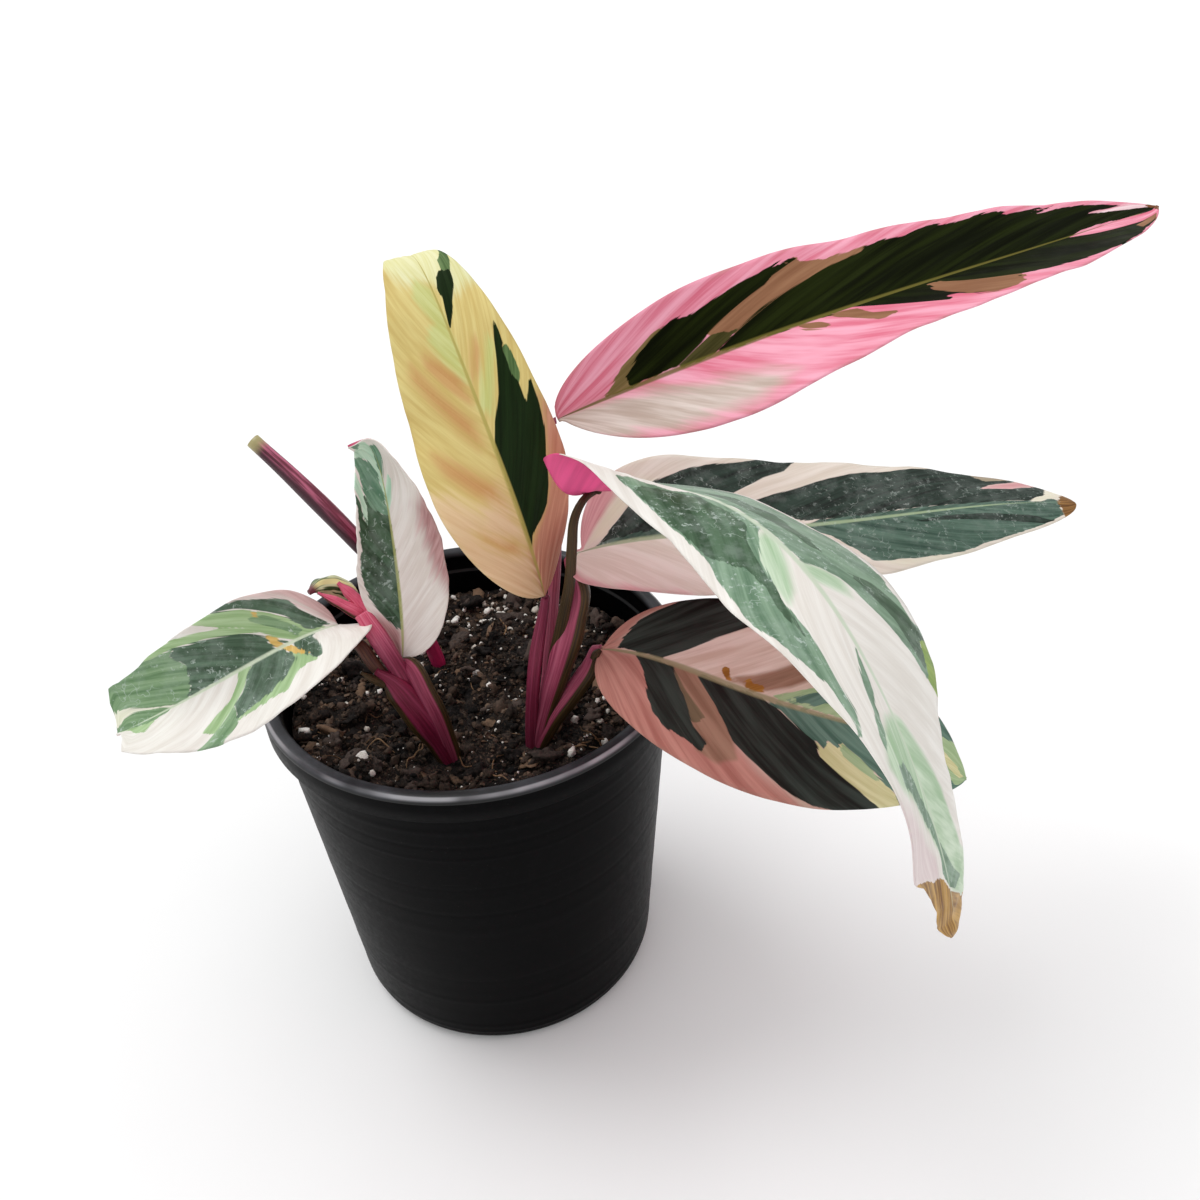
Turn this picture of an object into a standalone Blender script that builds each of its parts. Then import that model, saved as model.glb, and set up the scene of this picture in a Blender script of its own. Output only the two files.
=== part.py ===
"""A young stromanthe with cream and pink marked leaves, growing in a black nursery pot.

Metres, +Z up. The pot stands on z = 0 with its axis on Z. The sizes below are in millimetres and degrees.
"""

import math

import bpy
import numpy as np
from mathutils import Vector, noise

MM = 0.001
CLEARANCE = 0.3  # gap kept between pieces that touch

# Pot, a turned plastic shell
POT_HEIGHT = 125.0
RIM_RADIUS = 65.0
NECK_RADIUS = 61.5
BASE_RADIUS = 52.5
WALL = 1.3
FLOOR = 1.8
LIP_HEIGHT = 9.0
LIP_SKIN = 1.3
LIP_ROUND = 2.0
HEEL_ROUND = 5.0
STEP_DEPTH = 8.0  # a step inside the wall, this far below the rim
STEP_WIDTH = 0.9
ARC_STEPS = 3
POT_SIDES = 48
DRAIN_COUNT = 8
DRAIN_RADIUS = 4.5
DRAIN_CIRCLE = 39.0
DRAIN_SIDES = 12

# Soil, filling the pot to below its rim
SOIL_TOP = 109.0
SOIL_RINGS = 13
SOIL_SIDES = 44
LUMP_HEIGHT = 5.0
LUMP_SIZE = 10.0
CRUMB_HEIGHT = 2.0
CRUMB_SIZE = 4.0
LUMP_FADE = 5.0  # the lumps die away this near the pot's wall

# Stems, which stand in plain holes in the soil
STEM_SIDES = 10
STEM_STATIONS = 9
FOOT_DEPTH = 26.0
FOOT_ABOVE = 5.0
FEET = {"stems_left": (-12.0, -29.0, 4.2), "stems_right": (15.2, -29.5, 4.0)}  # x, y and radius
HOLE_FUNNEL = ((-3.0, 0.0), (0.5, 1.5), (8.0, 9.0))  # height over the soil's level, and extra radius
FIRM_SOIL = 8.0  # the soil is firmed down this far round a foot
BLADE_LEAD = 2.0  # a stalk runs straight this far before its blade
BLADE_SEAT = 0.5  # from a stalk's end to the blade's base

# Each stalk: points from the soil up, its radius at equal stations, the depth of its channel as a share
# of the radius, the side that the channel opens to, the leaf it carries, and how far under the blade it ends.
STALKS = {
    "stems_left": [
        dict(points=((-12, -29, 106), (-16.5, -25.5, 119), (-23.5, -22, 131.5), (-30, -17.5, 143)),
             radius=(2.4, 1.7, 0.9), channel=(0.3, 0.05), opens=(0, -1, 0.4), leaf="leaf_low_left",
             under=1.5),
        dict(points=((-12, -29, 106), (-14, -26, 120.5), (-17.5, -23, 131)),
             radius=(3.4, 2.9, 1.5), channel=(0.35, 0.05), opens=(0, -1, 0.3), leaf="leaf_small_upright"),
        dict(points=((-12, -28.5, 106), (-16, -22.5, 119.5), (-20.5, -18, 134.5), (-24.5, -14.5, 145),
                     (-28, -12, 151.5)),
             radius=(2.6, 2.2, 2.2), channel=(0.2, 0.4), opens=(0.3, -1, 0.6)),
        dict(points=((-27, -12.5, 150), (-31.5, -9.5, 157), (-34.5, -8, 161.5)),
             radius=(2.0, 1.6, 0.6), channel=(0.3, 0), opens=(-1, -1, 0)),
        dict(points=((-27, -13, 149.5), (-34, -12.5, 156), (-40, -12, 161.5)),
             radius=(2.0, 1.5, 0.5), channel=(0.3, 0), opens=(0, 1, 1)),
    ],
    "stems_right": [
        dict(points=((14.7, -29.6, 106), (17, -26, 123), (19.5, -23, 139)),
             radius=(2.8, 2.5, 1.4), channel=(0.35, 0.1), opens=(0, -1, 0.2), leaf="leaf_tall_cream"),
        dict(points=((15.2, -29, 106), (20.5, -21, 126), (25, -15, 146.5), (28.5, -9.5, 166.5),
                     (30, -7.5, 184.5), (29.5, -8, 199)),
             radius=(2.2, 1.5, 1.0), channel=(0.2, 0.0), opens=(0, -1, 0.2), leaf="leaf_top_right"),
        dict(points=((15.6, -28.8, 106.5), (21, -27.5, 131), (25, -30, 153.5), (29, -33, 171.5),
                     (31.5, -30.5, 185)),
             radius=(2.6, 1.9, 0.9), channel=(0.3, 0.0), opens=(-0.4, -1, 0.2), leaf="leaf_front_arch",
             under=1.5),
        dict(points=((16, -29.3, 107), (21.5, -27, 126.5), (28, -25.5, 142.5), (31.5, -25.5, 156),
                     (30.5, -26.5, 165.5)),
             radius=(2.6, 2.6, 0.9), channel=(0.35, 0.1), opens=(-0.6, -1, 0.2), leaf="leaf_mid_right",
             under=2.2),
        dict(points=((15.9, -29.9, 106.5), (18.5, -28.8, 114.5), (23, -28.5, 121), (29, -27, 130)),
             radius=(2.4, 2.3, 1.1), channel=(0.3, 0.1), opens=(-0.4, -0.5, 1), leaf="leaf_low_right",
             under=0.8),
    ],
}

# The rolled new leaf by itself, and the one unrolling from its sheath
ROLLED_LEAF = ((-11, 18, 84), (-11, 18, 100), (-12, 18, 113), (-20, 18, 140), (-31, 20, 160), (-45, 30, 176),
               (-56, 38, 187))
ROLLED_RADIUS = (2.4, 2.4, 2.3, 1.9, 0.4)
ROLLED_HOLE_RADIUS = 2.6
YOUNG_LEAF = ((-30.6, -6, 153), (-34.6, -4.6, 159.5), (-38, -6, 164.5), (-40.5, -9, 165.5),
              (-42.5, -11.5, 163.3))
YOUNG_RADIUS = (1.2, 2.4, 2.7, 2.0, 0.8)

# Blades
BLADE_THICKNESS = 0.7
BLADE_STATIONS = 20
RIB_DEPTH = 1.0
RIB_SHARE = 0.09  # of the half width, to each side of the middle
COLUMNS = (0.0, RIB_SHARE, 0.38, 0.7, 1.0)
LEAST_HALF_WIDTH = (0.9, 0.5)  # at the base and at the tip
BASE_ROUND = 0.55
SIDE_VEIN_LEAN = (12.0, 25.0)  # degrees forward, in mid blade and at the tip
RIPPLE_HEIGHT = 0.5
RIPPLE_COUNT = 6.0

# Each leaf: a spine of five handles from the blade's base to its tip, and how its two halves lie.
# face: where its upper side looks at the base. twist and curl: degrees at equal stations.
# half_width, lobe, lean and lift are for the left and right half, seen from base to tip.
LEAVES = {
    "leaf_low_left": dict(
        spine=((-36, -16, 152.5), (-52, -33, 161.5), (-70, -35, 148.5), (-97, -43, 144.5), (-95, -36, 141.5)),
        face=(0, -0.4, 1), twist=(-3, 25, -11), half_width=(20, 17.5), widest=0.39, tip_round=0.69,
        lobe=(0.24, 0.04), lean=(-48, -10), lift=((14, 10), (13, 17)), curl=27),
    "leaf_small_upright": dict(
        spine=((-19.5, -20.5, 141.5), (-15.5, -14, 165), (-18.5, -11, 190), (-13.5, -0.5, 204.5),
               (-24.5, -6.5, 202)),
        face=(0, -1, 0.5), twist=(10, -10, 20), half_width=(12, 15), widest=0.33, tip_round=0.7,
        lobe=(0, 0), lean=(26, -2), lift=((-9, 20), (-7, 27)), curl=39),
    "leaf_tall_cream": dict(
        spine=((22.5, -21.5, 156.5), (17.5, -20, 193.5), (6.5, -13.5, 223.5), (0.5, 8.5, 259.5),
               (-3, 24, 237.5)),
        face=(0, -1, 0.4), twist=(-33, 14, -14), half_width=(21, 17.5), widest=0.31, tip_round=0.9,
        lobe=(0, -0.13), lean=(9, 2), lift=((7, 12), (0, 4)), curl=-14),
    "leaf_top_right": dict(
        spine=((31.5, -8, 203.5), (70, -6.5, 215.5), (112.5, -19, 233.5), (161.5, -18.5, 239.5),
               (204.5, 3.5, 240.5)),
        face=(0, -0.5, 1), twist=(-26, 14, 4), half_width=(21.5, 26), widest=0.39, tip_round=0.88,
        lobe=(0.05, -0.14), lean=(-3, 10), lift=((25, 6), (9, 19)), curl=6),
    "leaf_front_arch": dict(
        spine=((39, -25.5, 191), (67.5, -59, 207), (80, -76.5, 206), (80.5, -151, 189), (99.5, -129.5, 122)),
        face=(-0.3, -0.2, 1), twist=(13, 17, 39, 13), half_width=(29.5, 26), widest=0.46, tip_round=0.9,
        lobe=(-0.06, 0.59), lean=(-24, -34), lift=((-24, -33, -23, -36), (67, 10, 30, -5)), curl=-6),
    "leaf_mid_right": dict(
        spine=((32.5, -24.5, 171), (70, -1.5, 163), (103, -3.5, 148.5), (148, -5, 162), (192.5, -7, 153.5)),
        face=(0, -0.5, 1), twist=(-14, 4, 16), half_width=(28, 23), widest=0.29, tip_round=0.64,
        lobe=(-0.28, 0.27), lean=(-7, -50), lift=((13, 1), (11, -15)), curl=-7),
    "leaf_low_right": dict(
        spine=((37, -27, 139), (65, -43, 144), (78, -60.5, 126), (110.5, -55.5, 128.5), (135.5, -66, 103)),
        face=(0, -0.5, 1), twist=(0, -10, 14), half_width=(27, 27.5), widest=0.43, tip_round=0.85,
        lobe=(-0.12, 0.06), lean=(4, -12), lift=((9, 1), (4, -2)), curl=1),
}


# General helpers


def clear_scene():
    for thing in list(bpy.data.objects):
        bpy.data.objects.remove(thing, do_unlink=True)


def finish_of(name, colour, roughness):
    material = bpy.data.materials.new(name)
    material.use_nodes = True
    shader = material.node_tree.nodes["Principled BSDF"]
    shader.inputs["Base Color"].default_value = (*colour, 1.0)
    shader.inputs["Roughness"].default_value = roughness
    shader.inputs["Metallic"].default_value = 0.0
    return material


def add_object(name, mesh, material=None):
    mesh.shade_smooth()
    thing = bpy.data.objects.new(name, mesh)
    bpy.context.scene.collection.objects.link(thing)
    if material:
        mesh.materials.append(material)
    return thing


def mesh_of(name, points, faces):
    mesh = bpy.data.meshes.new(name)
    mesh.from_pydata([tuple(float(c) * MM for c in p) for p in points], [], faces)
    mesh.validate()
    return mesh


def unit(vector):
    vector = np.asarray(vector, float)
    return vector / np.linalg.norm(vector)


def eased(values, share):
    """Values at equally spaced stations, eased from each to the next, read at each share from 0 to 1."""
    values = np.atleast_1d(np.asarray(values, float))
    if len(values) == 1:
        return np.full(len(share), values[0])
    place = share * (len(values) - 1)
    left = np.clip(place.astype(int), 0, len(values) - 2)
    t = place - left
    t = t * t * (3 - 2 * t)
    return values[left] * (1 - t) + values[left + 1] * t


def carried_frames(points, first_normal):
    """Unit tangents along a curve, and a normal carried along it without spin."""
    tangents = np.gradient(points, axis=0)
    tangents /= np.linalg.norm(tangents, axis=1)[:, None]
    normals = []
    normal = np.asarray(first_normal, float)
    for tangent in tangents:
        normal = unit(normal - tangent * (normal @ tangent))
        normals.append(normal)
    return tangents, np.array(normals)


def evenly(points, count):
    """Points at equal steps of length along a fine curve."""
    length = np.r_[0, np.cumsum(np.linalg.norm(np.diff(points, axis=0), axis=1))]
    wanted = np.linspace(0, length[-1], count)
    return np.stack([np.interp(wanted, length, points[:, k]) for k in range(3)], 1)


def bezier(handles, fine=801):
    t = np.linspace(0, 1, fine)
    degree = len(handles) - 1
    weights = [math.comb(degree, i) * (1 - t) ** (degree - i) * t**i for i in range(degree + 1)]
    return sum(w[:, None] * np.array(h, float) for w, h in zip(weights, handles))


def through(points, fine=40):
    """A smooth curve through points."""
    p = np.array(points, float)
    p = np.vstack([2 * p[0] - p[1], p, 2 * p[-1] - p[-2]])
    t = np.linspace(0, 1, fine, endpoint=False)[:, None]
    runs = []
    for a, b, c, d in zip(p[:-3], p[1:-2], p[2:-1], p[3:]):
        bend = (2 * a - 5 * b + 4 * c - d) * t**2 + (3 * b - a - 3 * c + d) * t**3
        runs.append(0.5 * (2 * b + (c - a) * t + bend))
    return np.vstack(runs + [p[-2][None]])


def loft(name, rings):
    """A closed tube over rings of equally many points, with flat ends."""
    count = len(rings[0])
    points = [p for ring in rings for p in ring]
    faces = []
    for i in range(len(rings) - 1):
        for j in range(count):
            k = (j + 1) % count
            faces.append((i * count + j, i * count + k, (i + 1) * count + k, (i + 1) * count + j))
    last = (len(rings) - 1) * count
    faces.append(tuple(range(count))[::-1])
    faces.append(tuple(range(last, last + count)))
    return mesh_of(name, points, faces)


def tube(name, points, radius, channel=(0.0, 0.0), opens=(0, -1, 0), stations=STEM_STATIONS):
    """A tapered stalk along points, with a channel down the side it opens to."""
    path = evenly(through(points), stations * 4 + 1)
    tangents, normals = carried_frames(path, opens)
    path, tangents, normals = path[::4], tangents[::4], normals[::4]
    share = np.linspace(0, 1, len(path))
    radii = eased(radius, share)
    depth = eased(channel, share)
    rings = []
    for p, t, n, r, d in zip(path, tangents, normals, radii, depth):
        side = np.cross(t, n)
        ring = []
        for k in range(STEM_SIDES):
            angle = math.tau * k / STEM_SIDES
            turned = math.atan2(math.sin(angle), math.cos(angle))
            reach = r * (1 - d * math.exp(-((turned / 0.7) ** 2)))
            ring.append(p + reach * (math.cos(angle) * n + math.sin(angle) * side))
        rings.append(ring)
    return loft(name, rings)


def fused(name, meshes, material):
    """One body of several that overlap."""
    group = bpy.data.collections.new(name + "_parts")
    bpy.context.scene.collection.children.link(group)
    things = [bpy.data.objects.new(f"{name}_{i}", mesh) for i, mesh in enumerate(meshes)]
    for thing in things[1:]:
        group.objects.link(thing)
    whole = things[0]
    whole.name = name
    bpy.context.scene.collection.objects.link(whole)
    join = whole.modifiers.new("join", "BOOLEAN")
    join.operation = "UNION"
    join.operand_type = "COLLECTION"
    join.collection = group
    join.solver = "EXACT"
    bake_modifiers(whole)
    for thing in things[1:]:
        bpy.data.objects.remove(thing, do_unlink=True)
    bpy.data.collections.remove(group)
    whole.data.materials.clear()
    whole.data.materials.append(material)
    whole.data.shade_smooth()
    return whole


def bake_modifiers(thing):
    graph = bpy.context.evaluated_depsgraph_get()
    mesh = bpy.data.meshes.new_from_object(thing.evaluated_get(graph), depsgraph=graph)
    thing.modifiers.clear()
    thing.data = mesh


def cut(thing, cutters):
    """Takes the cutters away from a solid, and then removes them."""
    for cutter in cutters:
        cutter.hide_render = True
        cutter.display_type = "WIRE"
        hole = thing.modifiers.new("hole", "BOOLEAN")
        hole.operation = "DIFFERENCE"
        hole.object = cutter
        hole.solver = "EXACT"
    bake_modifiers(thing)
    for cutter in cutters:
        bpy.data.objects.remove(cutter, do_unlink=True)


def upright_round(name, x, y, levels, sides):
    """A round upright solid over pairs of height and radius."""
    turns = [math.tau * k / sides for k in range(sides)]
    return loft(name, [[(x + r * math.cos(a), y + r * math.sin(a), z) for a in turns] for z, r in levels])


# Pot and soil


def arc(centre_r, centre_z, radius, start, end):
    """Points of a profile's round corner, angles in degrees from outwards to up."""
    angles = [math.radians(start + (end - start) * k / ARC_STEPS) for k in range(ARC_STEPS + 1)]
    return [(centre_r + radius * math.cos(a), centre_z + radius * math.sin(a)) for a in angles]


def turned(name, profile, sides):
    """The closed solid that a profile from axis to axis sweeps out round Z."""
    points = []
    faces = []
    turns = [math.tau * k / sides for k in range(sides)]
    for r, z in profile[1:-1]:
        points += [(r * math.cos(a), r * math.sin(a), z) for a in turns]
    rings = len(profile) - 2
    for i in range(rings - 1):
        for j in range(sides):
            k = (j + 1) % sides
            faces.append((i * sides + j, i * sides + k, (i + 1) * sides + k, (i + 1) * sides + j))
    for ring, z, order in ((0, profile[0][1], 1), (rings - 1, profile[-1][1], -1)):
        points.append((0.0, 0.0, z))
        for j in range(sides):
            fan = (len(points) - 1, ring * sides + (j + 1) % sides, ring * sides + j)
            faces.append(fan[::order])
    return mesh_of(name, points, faces)


def wall_radius(z):
    """The pot's outer radius at a height."""
    return BASE_RADIUS + (NECK_RADIUS - BASE_RADIUS) * z / (POT_HEIGHT - LIP_HEIGHT)


def inner_radius(z):
    """The pot's inner radius below its inner step."""
    return wall_radius(z) - WALL - STEP_WIDTH * max(0.0, z - SOIL_TOP / 2) / (POT_HEIGHT - SOIL_TOP / 2)


def pot_profile():
    lip_foot = POT_HEIGHT - LIP_HEIGHT
    step = POT_HEIGHT - STEP_DEPTH
    mouth = NECK_RADIUS - WALL
    top = POT_HEIGHT - LIP_ROUND
    outer = [(0.0, 0.0)]
    outer += arc(BASE_RADIUS - HEEL_ROUND, HEEL_ROUND, HEEL_ROUND, -90, 0)
    outer += [(wall_radius(z), z) for z in (40.0, 80.0, lip_foot)]
    outer += [(NECK_RADIUS, top - 1.0), (RIM_RADIUS - LIP_SKIN, top - 1.0)]
    outer += [(RIM_RADIUS - LIP_SKIN + 0.2, lip_foot + 0.3), (RIM_RADIUS - 0.2, lip_foot)]
    outer += arc(RIM_RADIUS - LIP_ROUND, top, LIP_ROUND, 0, 90)
    outer += arc(mouth + LIP_ROUND, top, LIP_ROUND, 90, 180)
    outer += [(mouth, step + 0.8), (inner_radius(step), step)]
    outer += [(inner_radius(z), z) for z in (SOIL_TOP / 2, HEEL_ROUND)]
    outer += [(inner_radius(HEEL_ROUND) - HEEL_ROUND + FLOOR, FLOOR), (0.0, FLOOR)]
    return outer


def make_pot():
    plastic = finish_of("black_plastic", (0.012, 0.012, 0.013), 0.38)
    pot = add_object("pot", turned("pot", pot_profile(), POT_SIDES), plastic)
    drills = []
    for k in range(DRAIN_COUNT):
        angle = math.tau * (k + 0.5) / DRAIN_COUNT
        x = DRAIN_CIRCLE * math.cos(angle)
        y = DRAIN_CIRCLE * math.sin(angle)
        levels = ((-3.0, DRAIN_RADIUS), (FLOOR + 3.0, DRAIN_RADIUS))
        drills.append(add_object(f"drill_{k}", upright_round("drill", x, y, levels, DRAIN_SIDES)))
    cut(pot, drills)
    pot.data.set_sharp_from_angle(angle=math.radians(40))
    return pot


def lump(x, y):
    """How far the soil stands above its level at a place."""
    coarse = noise.noise(Vector((x / LUMP_SIZE, y / LUMP_SIZE, 0.3)))
    fine = noise.noise(Vector((x / CRUMB_SIZE, y / CRUMB_SIZE, 7.7)))
    fade = min(1.0, max(0.0, (inner_radius(SOIL_TOP) - math.hypot(x, y)) / LUMP_FADE))
    for foot_x, foot_y, radius in feet_in_soil():
        near = math.hypot(x - foot_x, y - foot_y) - radius
        fade *= min(1.0, max(0.0, near / FIRM_SOIL))
    return fade * (LUMP_HEIGHT * coarse + CRUMB_HEIGHT * fine)


def feet_in_soil():
    return [*FEET.values(), (*ROLLED_LEAF[0][:2], ROLLED_HOLE_RADIUS)]


def make_soil():
    low = FLOOR + CLEARANCE
    edge = inner_radius(SOIL_TOP) - 2 * CLEARANCE
    profile = [(0.0, low), (inner_radius(HEEL_ROUND) - HEEL_ROUND, low)]
    profile += [(inner_radius(z) - 2 * CLEARANCE, z) for z in (HEEL_ROUND + 1.0, SOIL_TOP / 2)]
    profile += [(edge * (1 - k / SOIL_RINGS), SOIL_TOP) for k in range(SOIL_RINGS)]
    profile += [(0.0, SOIL_TOP)]
    mesh = turned("soil", profile, SOIL_SIDES)
    for vertex in mesh.vertices:
        if vertex.co.z > (SOIL_TOP - 0.01) * MM:
            vertex.co.z += lump(vertex.co.x / MM, vertex.co.y / MM) * MM
    soil = add_object("soil", mesh, finish_of("potting_soil", (0.035, 0.022, 0.015), 0.95))
    holes = []
    for k, (x, y, radius) in enumerate(feet_in_soil()):
        levels = [(SOIL_TOP - FOOT_DEPTH - CLEARANCE, radius + CLEARANCE)]
        levels += [(SOIL_TOP + height, radius + CLEARANCE + extra) for height, extra in HOLE_FUNNEL]
        holes.append(add_object(f"hole_{k}", upright_round("hole", x, y, levels, STEM_SIDES)))
    cut(soil, holes)
    return soil


# Stems


def foot_mesh(x, y, radius):
    """The part of a clump that stands in the soil, with a shoulder inside the stalks above it."""
    levels = ((SOIL_TOP - FOOT_DEPTH, radius), (SOIL_TOP + 1.0, radius), (SOIL_TOP + FOOT_ABOVE, radius / 2))
    return upright_round("foot", x, y, levels, STEM_SIDES)


def stalk_points(points, leaf=None, under=0.3):
    """A stalk's points, ending just short of the blade it carries and in line with its rib."""
    if not leaf:
        return points
    middle, along, up, _ = spine_frames(LEAVES[leaf], np.zeros(1))
    seat = middle[0] - up[0] * under
    return (*points, seat - along[0] * BLADE_LEAD, seat - along[0] * BLADE_SEAT)


def make_stems(name, material):
    meshes = [foot_mesh(*FEET[name])]
    for k, stalk in enumerate(STALKS[name]):
        points = stalk_points(stalk["points"], stalk.get("leaf"), stalk.get("under", 0.3))
        meshes.append(tube(f"{name}_{k}", points, stalk["radius"], stalk["channel"], stalk["opens"]))
    return fused(name, meshes, material)


# Leaves


def spine_frames(leaf, share):
    fine = evenly(bezier(leaf["spine"]), 401)
    tangents, normals = carried_frames(fine, leaf["face"])
    near = np.round(share * 400).astype(int)
    middle, along, up = fine[near], tangents[near], normals[near]
    side = np.cross(along, up)
    turn = np.radians(eased(leaf["twist"], share))[:, None]
    return middle, along, up * np.cos(turn) - side * np.sin(turn), side * np.cos(turn) + up * np.sin(turn)


def half_width(leaf, half, share):
    widest = leaf["widest"]
    lobe = leaf["lobe"][half]
    before = np.clip(1 - share / widest, 0, 1)
    after = np.clip((share - widest) / (1 - widest), 0, 1)
    rising = lobe + (1 - lobe) * (1 - before**2) ** BASE_ROUND
    falling = (1 - after**2) ** leaf["tip_round"]
    width = leaf["half_width"][half] * np.where(share < widest, rising, falling)
    least = LEAST_HALF_WIDTH[0] + (LEAST_HALF_WIDTH[1] - LEAST_HALF_WIDTH[0]) * share
    return np.maximum(width, least)


def blade_rows(leaf, share, columns):
    """The blade's middle surface: rows from base to tip, each from the left edge to the right edge."""
    middle, along, up, side = spine_frames(leaf, share)
    columns = np.array(columns)
    steps = np.diff(columns)
    centres = (columns[1:] + columns[:-1]) / 2
    halves = []
    for half, sign in ((0, -1.0), (1, 1.0)):
        width = half_width(leaf, half, share)
        lean = np.radians(eased((leaf["lean"][half],) + SIDE_VEIN_LEAN, share))[:, None, None]
        lift = np.radians(eased(leaf["lift"][half], share))[:, None]
        rise = (lift + math.radians(leaf["curl"]) * centres[None, :])[..., None]
        across = np.cos(rise) * sign * side[:, None, :] + np.sin(rise) * up[:, None, :]
        heading = across * np.cos(lean) + along[:, None, :] * np.sin(lean)
        move = heading * (width[:, None] * steps)[..., None]
        rows = np.concatenate([middle[:, None, :], middle[:, None, :] + np.cumsum(move, axis=1)], axis=1)
        ripple = RIPPLE_HEIGHT * np.sin(math.tau * RIPPLE_COUNT * share + half * 2.0)
        ripple *= np.sin(math.pi * share)
        rows += up[:, None, :] * (ripple[:, None] * columns**2)[..., None]
        halves.append(rows)
    return np.concatenate([halves[0][:, ::-1], halves[1][:, 1:]], axis=1)


def row_normals(rows):
    down = np.gradient(rows, axis=0)
    over = np.gradient(rows, axis=1)
    normals = np.cross(over, down)
    return normals / np.linalg.norm(normals, axis=2)[..., None]


def station_shares(count):
    """Stations from base to tip, closer together at both ends."""
    even = np.linspace(0, 1, count + 1)
    return 0.5 * even + 0.5 * (1 - np.cos(math.pi * even)) / 2


def blade_mesh(name, leaf):
    share = station_shares(BLADE_STATIONS)
    rows = blade_rows(leaf, share, COLUMNS)
    normals = row_normals(rows)
    long, wide = rows.shape[:2]
    below = np.full((long, wide), BLADE_THICKNESS / 2)
    below[:, wide // 2] += RIB_DEPTH * (1 - 0.7 * share)
    top = rows + normals * BLADE_THICKNESS / 2
    bottom = rows - normals * below[..., None]
    points = np.concatenate([top.reshape(-1, 3), bottom.reshape(-1, 3)])
    lower = long * wide
    faces = []
    for i in range(long - 1):
        for j in range(wide - 1):
            a, b = i * wide + j, i * wide + j + 1
            c, d = a + wide, b + wide
            pair = ((a, c, d), (a, d, b)) if j < wide // 2 else ((a, c, b), (b, c, d))
            for face in pair:
                faces.append(face[::-1])
                faces.append(tuple(v + lower for v in face))
    border = list(range(wide))
    border += [i * wide + wide - 1 for i in range(1, long)]
    border += [(long - 1) * wide + j for j in range(wide - 2, -1, -1)]
    border += [i * wide for i in range(long - 2, 0, -1)]
    for a, b in zip(border, border[1:] + border[:1]):
        faces.append((a, a + lower, b + lower, b))
    return mesh_of(name, points, faces)


BLADE_COLOURS = {
    "leaf_low_left": (0.45, 0.55, 0.42),
    "leaf_small_upright": (0.5, 0.5, 0.4),
    "leaf_tall_cream": (0.75, 0.6, 0.3),
    "leaf_top_right": (0.35, 0.2, 0.15),
    "leaf_front_arch": (0.6, 0.65, 0.55),
    "leaf_mid_right": (0.35, 0.4, 0.32),
    "leaf_low_right": (0.4, 0.28, 0.24),
}


def main():
    clear_scene()
    make_pot()
    make_soil()
    stalk_finish = finish_of("stalk", (0.2, 0.02, 0.06), 0.4)
    for name in STALKS:
        make_stems(name, stalk_finish)
    rolled = tube("rolled_leaf", ROLLED_LEAF, ROLLED_RADIUS, stations=14)
    add_object("rolled_leaf", rolled, finish_of("rolled_leaf", (0.3, 0.03, 0.09), 0.4))
    young = tube("young_leaf", YOUNG_LEAF, YOUNG_RADIUS)
    add_object("young_leaf", young, finish_of("young_leaf", (0.45, 0.55, 0.3), 0.45))
    for name, leaf in LEAVES.items():
        add_object(name, blade_mesh(name, leaf), finish_of(name, BLADE_COLOURS[name], 0.42))


main()
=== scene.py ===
"""The potted stromanthe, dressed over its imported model.

Metres, +Z up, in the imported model's own frame. Tables are in millimetres and degrees.
"""

import math
import random

import bmesh
import bpy
import numpy as np
from mathutils import Matrix, Vector, noise


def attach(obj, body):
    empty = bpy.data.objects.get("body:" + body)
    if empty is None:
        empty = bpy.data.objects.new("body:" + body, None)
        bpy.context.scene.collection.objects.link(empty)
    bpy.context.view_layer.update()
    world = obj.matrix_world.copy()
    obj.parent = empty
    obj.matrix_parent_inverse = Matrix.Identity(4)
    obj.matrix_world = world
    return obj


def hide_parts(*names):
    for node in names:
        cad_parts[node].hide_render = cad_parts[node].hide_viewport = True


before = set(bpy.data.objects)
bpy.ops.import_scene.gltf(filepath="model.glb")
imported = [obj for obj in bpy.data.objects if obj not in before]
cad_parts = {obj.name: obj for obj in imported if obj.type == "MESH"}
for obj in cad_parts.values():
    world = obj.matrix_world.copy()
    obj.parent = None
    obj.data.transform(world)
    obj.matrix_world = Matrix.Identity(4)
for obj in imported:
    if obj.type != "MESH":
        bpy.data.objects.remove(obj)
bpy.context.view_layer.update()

MM = 0.001
POT_HEIGHT = 125.0
SOIL_TOP = 109.0
SOIL_EDGE = 58.1
FEET = ((-12.0, -29.0, 4.2), (15.2, -29.5, 4.0), (-11.0, 18.0, 2.6))  # of the clumps: x, y and radius

# Camera, fitted to the pot and the leaves in the photograph
EYE = (0.0, -0.27877, 0.32993)
RIGHT = (0.98295932, -0.17796925, -0.04602097)
UP = (0.13794806, 0.5486903, 0.82456612)
FORWARD = (0.12149615, 0.81686345, -0.56389076)
LENS = 33.0
SENSOR = 36.0


# Small helpers

CURVE_POINTS = 801
RUN_POINTS = 40


def srgb(red, green, blue):
    """A linear colour from the 0 to 255 values that a picture shows."""
    parts = []
    for value in (red, green, blue):
        value /= 255.0
        parts.append(value / 12.92 if value <= 0.04045 else ((value + 0.055) / 1.055) ** 2.4)
    return (*parts, 1.0)


def unit(vector):
    vector = np.asarray(vector, float)
    return vector / np.linalg.norm(vector)


def eased(values, share):
    """Values at equally spaced stations, eased from each to the next, read at each share from 0 to 1."""
    values = np.atleast_1d(np.asarray(values, float))
    if len(values) == 1:
        return np.full(len(share), values[0])
    place = share * (len(values) - 1)
    left = np.clip(place.astype(int), 0, len(values) - 2)
    t = place - left
    t = t * t * (3 - 2 * t)
    return values[left] * (1 - t) + values[left + 1] * t


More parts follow.
